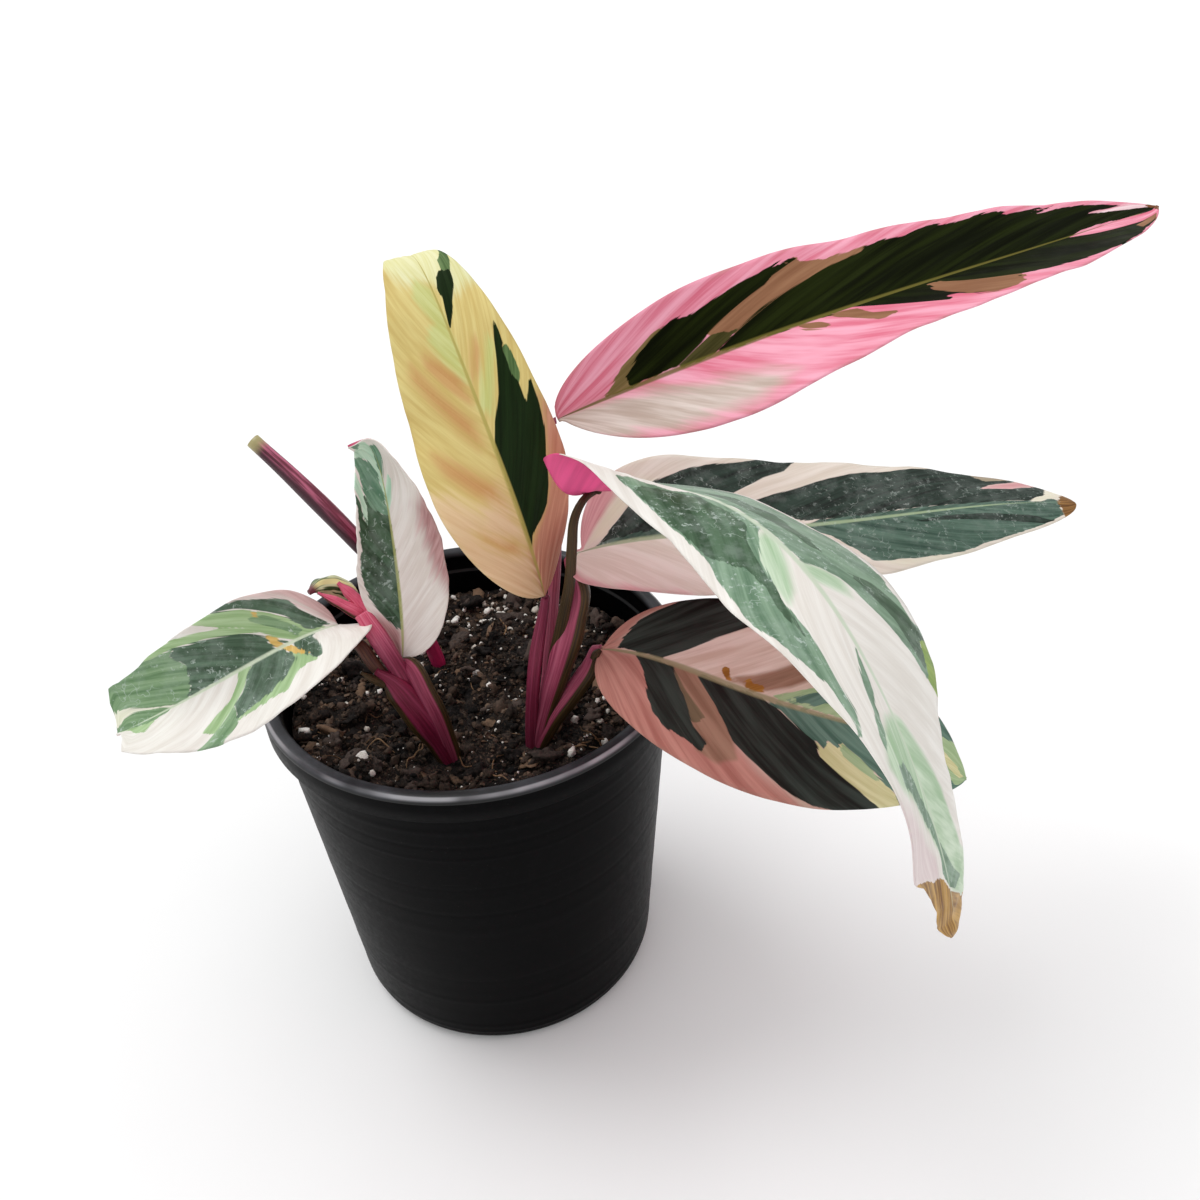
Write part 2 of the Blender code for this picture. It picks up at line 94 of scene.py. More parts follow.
def smooth(low, high, value):
    t = np.clip((value - low) / (high - low), 0, 1)
    return t * t * (3 - 2 * t)


def carried_frames(points, first_normal):
    """Unit tangents along a curve, and a normal carried along it without spin."""
    tangents = np.gradient(points, axis=0)
    tangents /= np.linalg.norm(tangents, axis=1)[:, None]
    normals = []
    normal = np.asarray(first_normal, float)
    for tangent in tangents:
        normal = unit(normal - tangent * (normal @ tangent))
        normals.append(normal)
    return tangents, np.array(normals)


def evenly(points, count):
    """Points at equal steps of length along a fine curve."""
    length = np.r_[0, np.cumsum(np.linalg.norm(np.diff(points, axis=0), axis=1))]
    wanted = np.linspace(0, length[-1], count)
    return np.stack([np.interp(wanted, length, points[:, k]) for k in range(3)], 1)


def bezier(handles):
    t = np.linspace(0, 1, CURVE_POINTS)
    degree = len(handles) - 1
    weights = [math.comb(degree, i) * (1 - t) ** (degree - i) * t**i for i in range(degree + 1)]
    return sum(w[:, None] * np.array(h, float) for w, h in zip(weights, handles))


def through(points):
    """A smooth curve through points."""
    p = np.array(points, float)
    p = np.vstack([2 * p[0] - p[1], p, 2 * p[-1] - p[-2]])
    t = np.linspace(0, 1, RUN_POINTS, endpoint=False)[:, None]
    runs = []
    for a, b, c, d in zip(p[:-3], p[1:-2], p[2:-1], p[3:]):
        bend = (2 * a - 5 * b + 4 * c - d) * t**2 + (3 * b - a - 3 * c + d) * t**3
        runs.append(0.5 * (2 * b + (c - a) * t + bend))
    return np.vstack(runs + [p[-2][None]])


def add_piece(name, points, faces, materials, nodes=(), face_materials=None):
    """A smooth piece from points in millimetres, riding on the object's one body."""
    mesh = bpy.data.meshes.new(name)
    mesh.from_pydata((np.asarray(points) * MM).tolist(), [], faces)
    for material in materials:
        mesh.materials.append(material)
    if face_materials is not None:
        mesh.polygons.foreach_set("material_index", face_materials)
    mesh.shade_smooth()
    piece = bpy.data.objects.new(name, mesh)
    bpy.context.scene.collection.objects.link(piece)
    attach(piece, "root")
    if nodes:
        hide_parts(*nodes)
    return piece


def store(piece, name, values):
    """Keeps a number or a vector for each point of a piece, for its material to read."""
    values = np.asarray(values, np.float32)
    kind, key = ("FLOAT_VECTOR", "vector") if values.ndim == 2 else ("FLOAT", "value")
    piece.data.attributes.new(name, kind, "POINT").data.foreach_set(key, values.reshape(-1))


def grid_faces(long, wide, start=0, closed=False):
    """Faces between rows of points. A closed row joins its last point to its first."""
    faces = []
    for i in range(long - 1):
        for j in range(wide if closed else wide - 1):
            a, b = start + i * wide + j, start + i * wide + (j + 1) % wide
            faces.append((a, b, b + wide, a + wide))
    return faces


def ring_faces(long, wide, start=0):
    """Faces between rings of points, with both ends closed."""
    first = range(start, start + wide)
    last = range(start + (long - 1) * wide, start + long * wide)
    return [*grid_faces(long, wide, start, closed=True), tuple(first)[::-1], tuple(last)]


def on_circle(radius, turn):
    return radius * math.cos(turn), radius * math.sin(turn)


# Materials


class Graph:
    """A short hand for wiring one material's nodes. A value may be a socket, a number or a colour."""

    def __init__(self, name):
        self.material = bpy.data.materials.new(name)
        self.material.use_nodes = True
        self.tree = self.material.node_tree
        self.shader = self.tree.nodes["Principled BSDF"]

    def plug(self, socket, value):
        if isinstance(value, bpy.types.NodeSocket):
            self.tree.links.new(value, socket)
        elif value is not None:
            socket.default_value = value

    def node(self, kind, **settings):
        node = self.tree.nodes.new("ShaderNode" + kind)
        for key, value in settings.items():
            setattr(node, key, value)
        return node

    def math(self, operation, *values):
        node = self.node("Math", operation=operation)
        for socket, value in zip(node.inputs, values):
            self.plug(socket, value)
        return node.outputs[0]

    def times(self, first, second):
        return self.math("MULTIPLY", first, second)

    def most(self, first, second):
        return self.math("MAXIMUM", first, second)

    def away(self, value, middle):
        """How far a value is from the middle."""
        return self.math("ABSOLUTE", self.math("SUBTRACT", value, middle))

    def mix(self, factor, first, second, blend="MIX"):
        node = self.node("Mix", data_type="RGBA", blend_type=blend)
        self.plug(node.inputs[0], factor)
        self.plug(node.inputs[6], first)
        self.plug(node.inputs[7], second)
        return node.outputs[2]

    def shaded(self, colour, shade):
        return self.mix(1.0, colour, self.vector(shade, shade, shade), "MULTIPLY")

    def between(self, factor, pair):
        """A mix of two colours that are given as a picture shows them."""
        return self.mix(factor, *(srgb(*colour) for colour in pair))

    def span(self, value, low, high, to_low=0.0, to_high=1.0, kind="SMOOTHSTEP"):
        node = self.node("MapRange", interpolation_type=kind)
        for socket, number in zip(node.inputs, (value, low, high, to_low, to_high)):
            self.plug(socket, number)
        return node.outputs[0]

    def attribute(self, name, output="Fac"):
        return self.node("Attribute", attribute_name=name).outputs[output]

    def place(self, stretch=(1000.0, 1000.0, 1000.0)):
        """The point in the object's own space, in millimetres where nothing is stretched."""
        node = self.node("VectorMath", operation="MULTIPLY")
        self.plug(node.inputs[0], self.node("TexCoord").outputs["Object"])
        node.inputs[1].default_value = stretch
        return node.outputs[0]

    def vector(self, x, y, z=0.0):
        node = self.node("CombineXYZ")
        for socket, value in zip(node.inputs, (x, y, z)):
            self.plug(socket, value)
        return node.outputs[0]

    def split(self, vector):
        node = self.node("SeparateXYZ")
        self.plug(node.inputs[0], vector)
        return node.outputs

    def parts(self, name):
        """The three numbers that a piece keeps for each point under a name."""
        return self.split(self.attribute(name, "Vector"))

    def noise(self, vector, scale=1.0, detail=3.0, roughness=0.55):
        node = self.node("TexNoise")
        for key, value in (("Vector", vector), ("Scale", scale), ("Detail", detail), ("Roughness", roughness)):
            self.plug(node.inputs[key], value)
        return node.outputs["Fac"]

    def cells(self, vector, scale):
        node = self.node("TexVoronoi")
        self.plug(node.inputs["Vector"], vector)
        self.plug(node.inputs["Scale"], scale)
        return node.outputs["Distance"]

    def random(self, value):
        node = self.node("TexWhiteNoise", noise_dimensions="1D")
        self.plug(node.inputs["W"], value)
        return node.outputs["Value"]

    def bump(self, height, distance, strength=1.0, normal=None):
        node = self.node("Bump")
        self.plug(node.inputs["Height"], height)
        node.inputs["Distance"].default_value = distance
        node.inputs["Strength"].default_value = strength
        if normal is not None:
            self.plug(node.inputs["Normal"], normal)
        return node.outputs["Normal"]

    def finish(self, colour, roughness, normal=None, shine=0.5):
        self.plug(self.shader.inputs["Base Color"], colour)
        self.plug(self.shader.inputs["Roughness"], roughness)
        if normal is not None:
            self.plug(self.shader.inputs["Normal"], normal)
        self.shader.inputs["Specular IOR Level"].default_value = shine
        return self.material


# Camera, light and floor


def add_camera():
    data = bpy.data.cameras.new("camera")
    data.sensor_fit = "HORIZONTAL"
    data.sensor_width = SENSOR
    data.lens = LENS
    data.clip_start = 0.01
    data.clip_end = 50.0
    camera = bpy.data.objects.new("camera", data)
    turn = Matrix((RIGHT, UP, [-c for c in FORWARD])).transposed().to_4x4()
    camera.matrix_world = Matrix.Translation(EYE) @ turn
    bpy.context.scene.collection.objects.link(camera)
    bpy.context.scene.camera = camera


def add_sky(horizon, zenith):
    """An even white studio, brighter overhead than at the horizon."""
    world = bpy.data.worlds.new("studio")
    world.use_nodes = True
    tree = world.node_tree
    height = tree.nodes.new("ShaderNodeSeparateXYZ")
    tree.links.new(tree.nodes.new("ShaderNodeTexCoord").outputs["Generated"], height.inputs[0])
    rise = tree.nodes.new("ShaderNodeMapRange")
    rise.inputs["To Min"].default_value = horizon
    rise.inputs["To Max"].default_value = zenith
    tree.links.new(height.outputs["Z"], rise.inputs["Value"])
    background = tree.nodes["Background"]
    background.inputs["Color"].default_value = (1.0, 1.0, 1.0, 1.0)
    tree.links.new(rise.outputs["Result"], background.inputs["Strength"])
    bpy.context.scene.world = world


def add_key(place, strength, spread):
    """A broad far light, even over the whole floor."""
    data = bpy.data.lights.new("key", "SUN")
    data.energy = strength
    data.angle = math.radians(spread)
    light = bpy.data.objects.new("key", data)
    light.rotation_euler = (-Vector(place)).to_track_quat("-Z", "Y").to_euler()
    bpy.context.scene.collection.objects.link(light)


FLOOR_REACH = 9.0  # metres
FLOOR_DROP = 0.0002


def add_studio():
    add_sky(horizon=0.5, zenith=1.05)
    add_key((-0.5, 0.35, 1.0), strength=1.0, spread=35.0)
    bpy.context.scene.view_settings.view_transform = "Standard"
    graph = Graph("floor")
    speck = graph.noise(graph.place(), 0.02, 2.0)
    tone = graph.mix(speck, (0.95, 0.95, 0.95, 1), (0.97, 0.97, 0.97, 1))
    graph.finish(tone, 0.95, shine=0.1)
    mesh = bpy.data.meshes.new("floor")
    grid = bmesh.new()
    bmesh.ops.create_grid(grid, x_segments=8, y_segments=8, size=FLOOR_REACH)
    grid.to_mesh(mesh)
    grid.free()
    mesh.materials.append(graph.material)
    floor = bpy.data.objects.new("floor", mesh)
    floor.location.z = -FLOOR_DROP
    bpy.context.scene.collection.objects.link(floor)


# Blades: the same sheets as the model's, finer, with their markings

SPINE_STEPS = 400
BLADE_STATIONS = 150
BLADE_COLUMNS = 20  # in each half
END_CROWDING = 0.4  # how much closer the stations lie towards the base and the tip
BLADE_THICKNESS = 0.6
EDGE_THICKNESS = 0.3
RIB_DEPTH = 1.0
RIB_GROOVE = 0.25
RIB_SHARE = 0.05  # of the half width
LEAST_HALF_WIDTH = (0.9, 0.5)  # at the base and the tip
BASE_ROUND = 0.55
SIDE_VEIN_LEAN = (12.0, 25.0)
RIPPLE_HEIGHT = 0.5
RIPPLE_COUNT = 6.0
QUILT = ((13, 0.14), (17, 0.07), (31, 0.02))  # folds along the side veins: how many, and how high
WAVES = ((5, 0.2), (9, 0.12), (19, 0.05))  # the same for the waves of the edge
CRUMPLE_FADE = 0.08
CRUMPLE_SCALE = 0.22
FIRST_SEED = 3.0
SEED_STEP = 11.0

# Each leaf's spine from base to tip, the way its face looks at the base, its twists along the spine, and for the
# left and the right half: the width, the lobe at the base, the lean of its edge and its lift. The trim corrects
# each half's width at the given shares of the length, the flap folds the right half's base over, and the crumple
# says from where the tip is dry and by how much.
LEAVES = {
    "leaf_low_left": dict(
        spine=((-36, -16, 152.5), (-52, -33, 161.5), (-70, -35, 148.5), (-97, -43, 144.5), (-95, -36, 141.5)),
        face=(0, -0.4, 1), twist=(-3, 25, -11), half_width=(20, 17.5), widest=0.39, tip_round=0.69,
        lobe=(0.24, 0.04), lean=(-48, -10), lift=((14, 10), (13, 17)), curl=27,
        trim=(((0, .86, .9, .95, 1), (1, 1.02, .53, .12, .3)),
              ((0, .7, .75, .8, .85, .9, .95, 1), (1, 1, 1.06, 1.14, 1.35, 1.2, .55, .5)))),
    "leaf_small_upright": dict(
        spine=((-19.5, -20.5, 141.5), (-15.5, -14, 165), (-18.5, -11, 190), (-13.5, -0.5, 204.5),
               (-24.5, -6.5, 202)),
        face=(0, -1, 0.5), twist=(10, -10, 20), half_width=(12, 15), widest=0.33, tip_round=0.7,
        lobe=(0, 0), lean=(26, -2), lift=((-9, 20), (-7, 27)), curl=39),
    "leaf_tall_cream": dict(
        spine=((22.5, -21.5, 156.5), (17.5, -20, 193.5), (6.5, -13.5, 223.5), (0.5, 8.5, 259.5),
               (-3, 24, 237.5)),
        face=(0, -1, 0.4), twist=(-33, 14, -14), half_width=(21, 17.5), widest=0.31, tip_round=0.9,
        lobe=(0, -0.13), lean=(9, 2), lift=((7, 12), (0, 4)), curl=-14,
        trim=(((0, .78, .88, 1), (1, 1, 1.1, 1.12)), ((0, 1), (1, 1)))),
    "leaf_top_right": dict(
        spine=((31.5, -8, 203.5), (70, -6.5, 215.5), (112.5, -19, 233.5), (161.5, -18.5, 239.5),
               (204.5, 3.5, 240.5)),
        face=(0, -0.5, 1), twist=(-26, 14, 4), half_width=(21.5, 26), widest=0.39, tip_round=0.88,
        lobe=(0.05, -0.14), lean=(-3, 10), lift=((25, 6), (9, 19)), curl=6),
    "leaf_front_arch": dict(
        spine=((39, -25.5, 191), (67.5, -59, 207), (80, -76.5, 206), (80.5, -151, 189), (99.5, -129.5, 122)),
        face=(-0.3, -0.2, 1), twist=(13, 17, 39, 13), half_width=(29.5, 26), widest=0.46, tip_round=0.9,
        lobe=(-0.06, 0.59), lean=(-24, -34), lift=((-24, -33, -23, -36), (67, 10, 30, -5)), curl=-6,
        crumple=(0.9, 1.6),
        trim=(((0, .2, .25, .3, .35, .4, .45, .5, .55, .6, .65, .7, .75, .8, .85, .9, .95, 1),
               (1, 1, 1.03, 1.2, 1.24, 1.23, 1.34, 1.36, 1.29, 1.3, 1.34, 1.22, 1.19, 1.2, 1.15, 1.35, 1.8, 3)),
              ((0, .18, .25, .3, .35, .4, .45, .5, .75, .8, .85, .9, .95, 1),
               (1, .98, .9, .85, .88, .91, .97, 1, 1, .63, .48, .45, .8, 1))),
        flap=(0.08, (-2.2, -2.5, -4.05))),
    "leaf_mid_right": dict(
        spine=((32.5, -24.5, 171), (70, -1.5, 163), (103, -3.5, 148.5), (148, -5, 162), (192.5, -7, 153.5)),
        face=(0, -0.5, 1), twist=(-14, 4, 16), half_width=(28, 23), widest=0.29, tip_round=0.64,
        lobe=(-0.28, 0.27), lean=(-7, -50), lift=((13, 1), (11, -15)), curl=-7),
    "leaf_low_right": dict(
        spine=((37, -27, 139), (65, -43, 144), (78, -60.5, 126), (110.5, -55.5, 128.5), (135.5, -66, 103)),
        face=(0, -0.5, 1), twist=(0, -10, 14), half_width=(27, 27.5), widest=0.43, tip_round=0.85,
        lobe=(-0.12, 0.06), lean=(4, -12), lift=((9, 1), (4, -2)), curl=1),
}

# The kinds of patch, from the lowest layer to the highest. A later patch of a lower kind cuts the higher ones.
LAYERS = ("rose", "pale", "tan", "moss", "gold", "mint", "green", "dark", "brown")

# Each blade's patches, in the order they are laid: the kind, and its corners' u and v in turn, in hundredths.
# u runs from the base to the tip, and v from -100 at the left edge over 0 at the rib to 100 at the right edge.
PATCHES = {
    # The rose and tan patches paint the glow of light shining through this blade from its pink and maroon under side.
    "leaf_top_right": (
        ("rose", -2, -110, -2, -2, 5, 2, 12, 12, 20, 30, 30, 50, 33, 70, 27, 85, 10, 90, 5, 110, 105, 110,
         105, -110),
        ("pale", 84, -62, 90, -62, 94, -85, 100, -90, 102, -40, 93, -45, 85, -52),
        ("mint", 7.5, -3, 12, -40, 17.5, -62, 19.5, -63, 15, -42, 12, -20, 12, -3),
        ("dark", 12, -5, 11.8, -22, 14.5, -42, 17, -55, 19.5, -63, 21.5, -65, 23, -61, 30, -75, 38.5, -86,
         39, -72, 35, -62, 30, -47, 25, -30, 20.5, -5),
        ("green", 19, -2, 25, -26, 30, -25, 25, -2),
        ("tan", 25, -30, 30, -50, 34.5, -64, 35, -72, 38.5, -83, 39.5, -76, 43, -72, 49, -78, 49, -72,
         44, -66, 38, -47, 33, -33, 29, -20, 27.5, -23),
        ("dark", 25, -2, 29, -18, 33, -34, 38, -49, 44, -66, 49, -74, 49, -79, 55, -81, 59.5, -89, 62, -87,
         70, -92, 71, -87, 70, -80, 74, -86, 79.5, -96, 77, -85, 74.5, -74, 80, -83, 86, -82, 92, -78,
         89.5, -67, 85.5, -60, 85, -53, 90, -47, 95, -44, 98, -40, 100, -15, 99, 30, 97.5, 40, 92, -2, 80, 0,
         86, 35, 89, 50, 93, 75, 95, 86, 93, 95, 88, 93, 85, 98, 80, 97, 76, 88, 70, 75, 65, 64, 63, 82,
         58.5, 75, 57, 56, 55.5, 50, 55, 62, 52, 45, 49, 25, 46, 2),
        ("tan", 56.5, 10, 58, 8, 60, 30, 63, 50, 65, 64, 63.5, 82, 62, 86, 60, 82, 58, 65, 56, 30),
        ("mint", 80, 2, 82, 0, 93, 3, 96, 20, 93, 15, 85, 8),
        ("rose", 80, 5, 83, -8, 88, -9, 92, 0, 97, 40, 95.5, 72, 90, 50, 85, 28),
        ("tan", 43, 5, 45.5, 10, 46, 30, 48, 45, 46.5, 50, 45, 30),
        ("tan", 38, 5, 40, 12, 40.5, 22, 38.5, 12),
        ("tan", 89, 62, 93, 72, 95.5, 85, 93, 95, 88.5, 85),
        ("brown", 98.5, -110, 97.5, -60, 99, 0, 98, 110, 110, 110, 110, -110),
    ),
    "leaf_front_arch": (
        ("green", 4, -90, 6, -50, 9, -10, 14, -2, 27, -6, 33, -4, 40, -5, 40.5, -20, 41, -33, 44, -45,
         47, -60, 50, -72, 53.5, -82, 57.5, -110, 45, -110, 44, -93, 36, -91, 30, -90, 20, -90),
        ("dark", 39.5, -50, 40, -72, 43, -90, 46, -100, 56, -105, 52, -85, 47, -74, 43, -62),
        ("dark", 20, -15, 22, -45, 27, -50, 31, -42, 36, -40, 35, -33, 30, -25, 26, -20),
        ("gold", 45.5, -110, 46.5, -93, 50, -88, 54, -87, 58, -110),
        ("mint", 40, -4, 40.5, -20, 41.5, -32, 44, -30, 43.5, -5, 42, 0),
        ("green", 20, 10, 20, 30, 18, 45, 16, 60, 16.5, 76, 20, 78, 25, 83, 30, 84, 35, 82, 38, 87, 42, 90,
         46, 95, 50, 92, 56, 83, 60, 90, 60.7, 105, 60.5, 92, 59, 78, 56, 70, 53, 60, 50, 53, 44, 50, 40, 40,
         36, 28, 34, 15, 32, 2, 25, 2),
        ("dark", 22, 15, 20, 40, 19, 60, 20, 77, 27, 82, 34, 80, 36, 68, 38, 55, 42, 52, 46, 60, 50, 60,
         45, 50, 40, 43, 34, 30, 31, 12),
        ("mint", 33.3, 3, 36, 3, 40, 15, 44, 30, 45.2, 44, 42, 44, 38, 35, 34.8, 20),
        ("green", 54, 5, 58, 18, 62, 48, 63.5, 68, 62.8, 66, 60, 42, 56.5, 20),
        ("pale", 66, 110, 70, 70, 73, 50, 80, 30, 84, 40, 82, 70, 76, 110),
        ("mint", 63, 2, 63.5, -10, 66, -22, 70, -42, 75, -55, 81, -66, 86, -85, 89, -110, 97, -110, 93, -50,
         89, -10, 84, 10, 80, 12, 74, 30, 70, 50, 67, 75, 64.5, 85, 63, 60, 62, 30),
        ("green", 66, 60, 66.5, 40, 71, 23, 76, 6, 81, -4, 86, -27, 89.5, -55, 89, -20, 86.5, 5, 83.5, 22,
         82, 10, 78, 13, 73, 30, 69, 50, 67, 66),
        ("rose", -5, 10, 2, 10, 4.5, 33, 5.5, 60, 6.5, 80, 6.8, 110, -5, 110),
        ("brown", 97, -110, 94.5, -60, 90.5, -20, 88.5, 0, 85, 25, 83, 50, 82.5, 70, 80, 85, 74.5, 110,
         110, 110, 110, -110),
    ),
    "leaf_low_left": (
        ("rose", -5, 20, -5, 110, 45, 110, 25, 98, 15, 80, 8, 55, 3, 30),
        ("dark", 13, -1, 16.5, -10, 18.5, -25, 21, -42, 23.5, -56, 24.5, -50, 24.5, -30, 23.5, -12, 22, -4),
        ("mint", 24.5, -30, 25, -57, 27, -52, 30, -51, 35, -68, 42, -66, 50, -70, 40, -50, 33, -40, 28, -20,
         26.5, -10),
        ("dark", 26.5, -10, 28, -30, 33, -47, 38, -55, 44, -60, 50, -66, 50, -48, 46, -35, 44, -25, 42, -10,
         40, -3, 28, -2),
        ("green", 50, -66, 50.5, -77, 55, -93, 57.5, -110, 65, -110, 60, -88, 57, -75, 53, -60, 50, -48),
        ("mint", 40, -3, 43, -12, 45, -26, 50, -45, 55, -62, 58, -75, 61.5, -68, 56, -50, 50, -35, 46, -15,
         45, -3),
        ("dark", 4.5, 15, 6, 30, 10, 45, 14, 58, 17, 78, 22, 85, 30, 93, 40, 108, 37, 88, 30, 77, 25, 67,
         20, 50, 16, 30, 14, 15, 10, 10),
        ("mint", 5, 8, 12, 10, 15, 15, 18, 35, 24, 60, 31, 80, 39, 97, 46, 105, 40, 75, 34, 55, 27, 25,
         20, 2),
        ("green", 19, 10, 23, 28, 28.5, 50, 31, 62, 27, 58, 21, 35, 17, 15),
        ("dark", 24, 4, 30, 22, 35, 42, 40, 52, 47, 68, 52, 76, 57, 85, 62, 85, 60, 60, 62, 30, 65, 10,
         68, 3),
        ("green", 66, 3, 62, 20, 58, 50, 60, 80, 57, 85, 65, 93, 70, 108, 95, 108, 91, 80, 89, 60, 85, 45,
         82, 35, 78, 22, 74, 10, 71, 3),
        ("mint", 31, 40, 40, 58, 46, 72, 52, 80, 57, 88, 65, 95, 69, 108, 60, 102, 50, 88, 40, 70),
        ("pale", 72, 5, 78, 18, 84, 35, 88, 55, 91, 80, 93, 110, 97, 110, 96, 70, 93, 45, 85, 28, 78, 10),
        ("green", 76, 8, 85, 26, 93, 43, 96.5, 70, 98, 110, 110, 110, 110, -10, 90, -9, 80, -10, 74, -1),
        ("mint", 80, -12, 83, -35, 87, -32, 95, -15, 95, -10),
        ("gold", 24, -40, 26.2, -25, 27.2, -5, 29.5, 10, 30, 24, 28, 24, 26.2, 8, 24.8, -5, 23.6, -20),
        ("gold", 28, 60, 30, 62, 30, 72, 28.5, 70),
        ("brown", 98.5, -30, 110, -30, 110, -70, 98, -60),
    ),
    "leaf_small_upright": (
        # Both rose patches are painted light: the first is the sheath behind glowing through the blade, the second is
        # shade along the right edge.
        ("rose", -5, -110, -5, -10, 5, -5, 11, -6, 14, -30, 14, -70, 12, -110),
        ("rose", 27, 110, 35, 75, 45, 66, 55, 64, 62, 74, 66, 110),
        ("dark", 12.5, -2, 13, -20, 15, -45, 18, -60, 22, -72, 28, -80, 35, -85, 44, -90, 47, -84, 55, -88,
         65, -93, 70, -105, 66, -88, 60, -80, 58, -68, 60, -64, 64, -72, 69, -70, 65, -55, 64, -35, 63, -20,
         62, -2, 40, -1),
        ("mint", 57, -63, 62, -74, 70, -90, 74, -105, 78, -100, 72, -82, 65, -64),
        ("green", 62, -3, 63.5, -40, 66, -55, 72, -70, 78, -82, 83, -105, 87, -105, 85, -70, 83, -40, 80, -13,
         70, -3),
        ("mint", 62, 0, 70, -6, 80, -16, 85, -40, 86, -110, 97, -110, 95, -30, 97, 10, 97, 70, 95, 70, 93, 20,
         90, 0),
        ("mint", 65, 2, 70, 15, 75, 27, 77, 24, 72, 4),
        ("green", 78, 2, 82, 15, 86, 35, 89, 50, 90, 30, 90.5, 5, 86, -6, 82, -6),
        ("green", 95.5, -60, 96.5, 0, 97.5, 50, 98.5, 50, 98, -60),
    ),
    "leaf_tall_cream": (
        ("rose", -5, -25, -5, 110, 40, 110, 45, 95, 30, 68, 22, 50, 17, 20, 12, -8),
        ("gold", -5, -110, -5, -20, 12, -6, 30, -12, 24, -50, 30, -80, 30, -110),
        ("pale", 85, -110, 80, -50, 80, 0, 74, 50, 74, 110, 110, 110, 110, -110),
        # The tan streaks between the veins are painted glow of light shining through the blade.
        ("tan", 13, -22, 15, -45, 19, -64, 21, -64, 18, -42, 16.5, -22),
        ("tan", 26, -16, 30, -45, 35, -68, 40, -78, 36, -48, 31, -17),
        ("tan", 41, -17, 45, -35, 50, -52, 58, -75, 61, -74, 54, -45, 47, -17),
        ("tan", 52, -9, 56, -35, 60, -52, 63, -50, 61, -30, 57, -9),
        ("tan", 56, 8, 60, 20, 63, 35, 61, 35, 57, 20),
        ("mint", 56, -2, 61, -25, 66, -38, 70, -20, 76, -42, 80, -30, 78, -5, 70, 0),
        ("mint", 50, 3, 55, 25, 60, 50, 62, 62, 60, 65, 55, 45, 47, 15),
        ("dark", 13.5, 1, 17, 10, 19, 30, 22, 50, 26, 58, 33, 68, 38, 80, 44, 88, 49, 93, 46, 78, 44, 69,
         47, 72, 52, 75, 57, 75, 61, 82, 63.5, 84, 60, 70, 55, 55, 50, 40, 45, 17, 41, 5, 39, 1, 30, 1,
         20, 1),
        ("green", 50, 76, 52, 70, 58, 75, 58, 83, 52, 83),
        ("dark", 68.5, 4, 71, 20, 74, 40, 77, 60, 79, 68, 80, 50, 80, 38, 79, 25, 77, 13, 75, 18, 72, 10),
        ("green", 79, 70, 80, 50, 82.5, 60, 84, 85, 87, 110, 85, 110, 81, 85),
    ),
    "leaf_mid_right": (
        ("rose", -5, -110, -5, -40, 3, -42, 8, -50, 12, -68, 14, -110),
        ("rose", -5, 70, 4, 90, 10, 98, 22, 102, 25, 110, -5, 110),
        ("pale", 2, -25, 5, -45, 10, -62, 17, -75, 20, -70, 12, -42, 6, -18),
        ("green", 4, -4, 6, -12, 12, -10, 22, -30, 22, -2),
        ("dark", 5.5, -10, 9, -30, 13, -46, 20, -68, 30, -86, 38, -96, 44, -110, 46, -100, 44, -86, 40, -74,
         36, -58, 28, -30, 20, -12),
        ("dark", 37, -36, 44, -50, 50, -64, 60, -82, 70, -95, 80, -110, 86, -110, 94, -110, 95.5, -80,
         92.5, -30, 90, -6, 70, -12, 52, -8, 46, -10),
        ("tan", 79, -100, 82, -82, 85, -92, 88, -110, 84, -110),
        ("rose", 81, -54, 83, -70, 86, -84, 89, -110, 93, -110, 90.5, -85, 87, -60),
        ("green", 46, 2, 50, 20, 53, 50, 55, 75, 60, 80, 66, 90, 72, 93, 76, 90, 84, 93, 90, 90, 95, 84,
         95.5, 40, 97, 0, 95, -30, 90, -10, 70, -10, 50, -6),
        ("dark", 64, 16, 72, 22, 79, 35, 85, 60, 90, 90, 92, 90, 88, 50, 82, 28, 75, 16),
        ("green", 30, 6, 34, 25, 38, 55, 42, 80, 46, 80, 44, 50, 40, 20, 36, 4),
        ("pale", 57, 78, 62, 87, 68, 92, 72, 98, 68, 98, 60, 92),
        ("pale", 94, -110, 93.5, -50, 90.5, -6, 93, -4, 95.5, -40, 96.5, -110),
        ("brown", 97.5, -110, 96.5, 0, 96, 50, 95, 110, 110, 110, 110, -110),
    ),
    "leaf_low_right": (
        ("rose", -5, -110, -5, 110, 62, 110, 50, 93, 42, 75, 36, 55, 30, 30, 20, 5, 6, 2, 4.5, -10, 5, -50,
         8, -85, 20, -110),
        ("dark", 4.5, -10, 5.5, -50, 7.5, -80, 12, -93, 22, -110, 36, -110, 36, -85, 30, -70, 25, -50,
         20, -25, 15.5, -6, 10, -6),
        ("tan", 33, -6, 38, -17, 42, -30, 45, -42, 52, -38, 47, -20, 42, -8, 37, -7),
        ("mint", 44, -3, 50, -20, 56, -30, 60, -24, 64, -5),
        ("green", 48, -5, 52, -18, 56.5, -28, 60, -22, 55, -10),
        ("brown", 30.5, -16, 31.3, -15, 32.2, -9, 33.6, -6, 32.5, -5, 31.2, -10),
        ("brown", 36.5, -5.5, 37.2, -12, 38, -11, 38.8, -7.5, 40, -10, 41.5, -6, 39.5, -3.5),
        ("tan", 18, 2, 24, 30, 28, 60, 31, 70, 30.5, 80, 35, 82, 37.5, 70, 36, 50, 34, 35, 30, 20, 27, 3),
        ("moss", 19, 5, 24, 25, 30, 45, 28, 54, 23, 32),
        ("dark", 10, 3, 14, 25, 17, 50, 20, 68, 24, 75, 28, 74, 31, 78, 31.5, 70, 28, 60, 25, 40, 22, 22,
         19, 4),
        ("dark", 26, 2, 32, 25, 35, 42, 37, 55, 42, 68, 47, 82, 52, 92, 60, 100, 71, 110, 68, 90, 62, 65,
         57, 45, 55.5, 30, 50, 12, 44, 3),
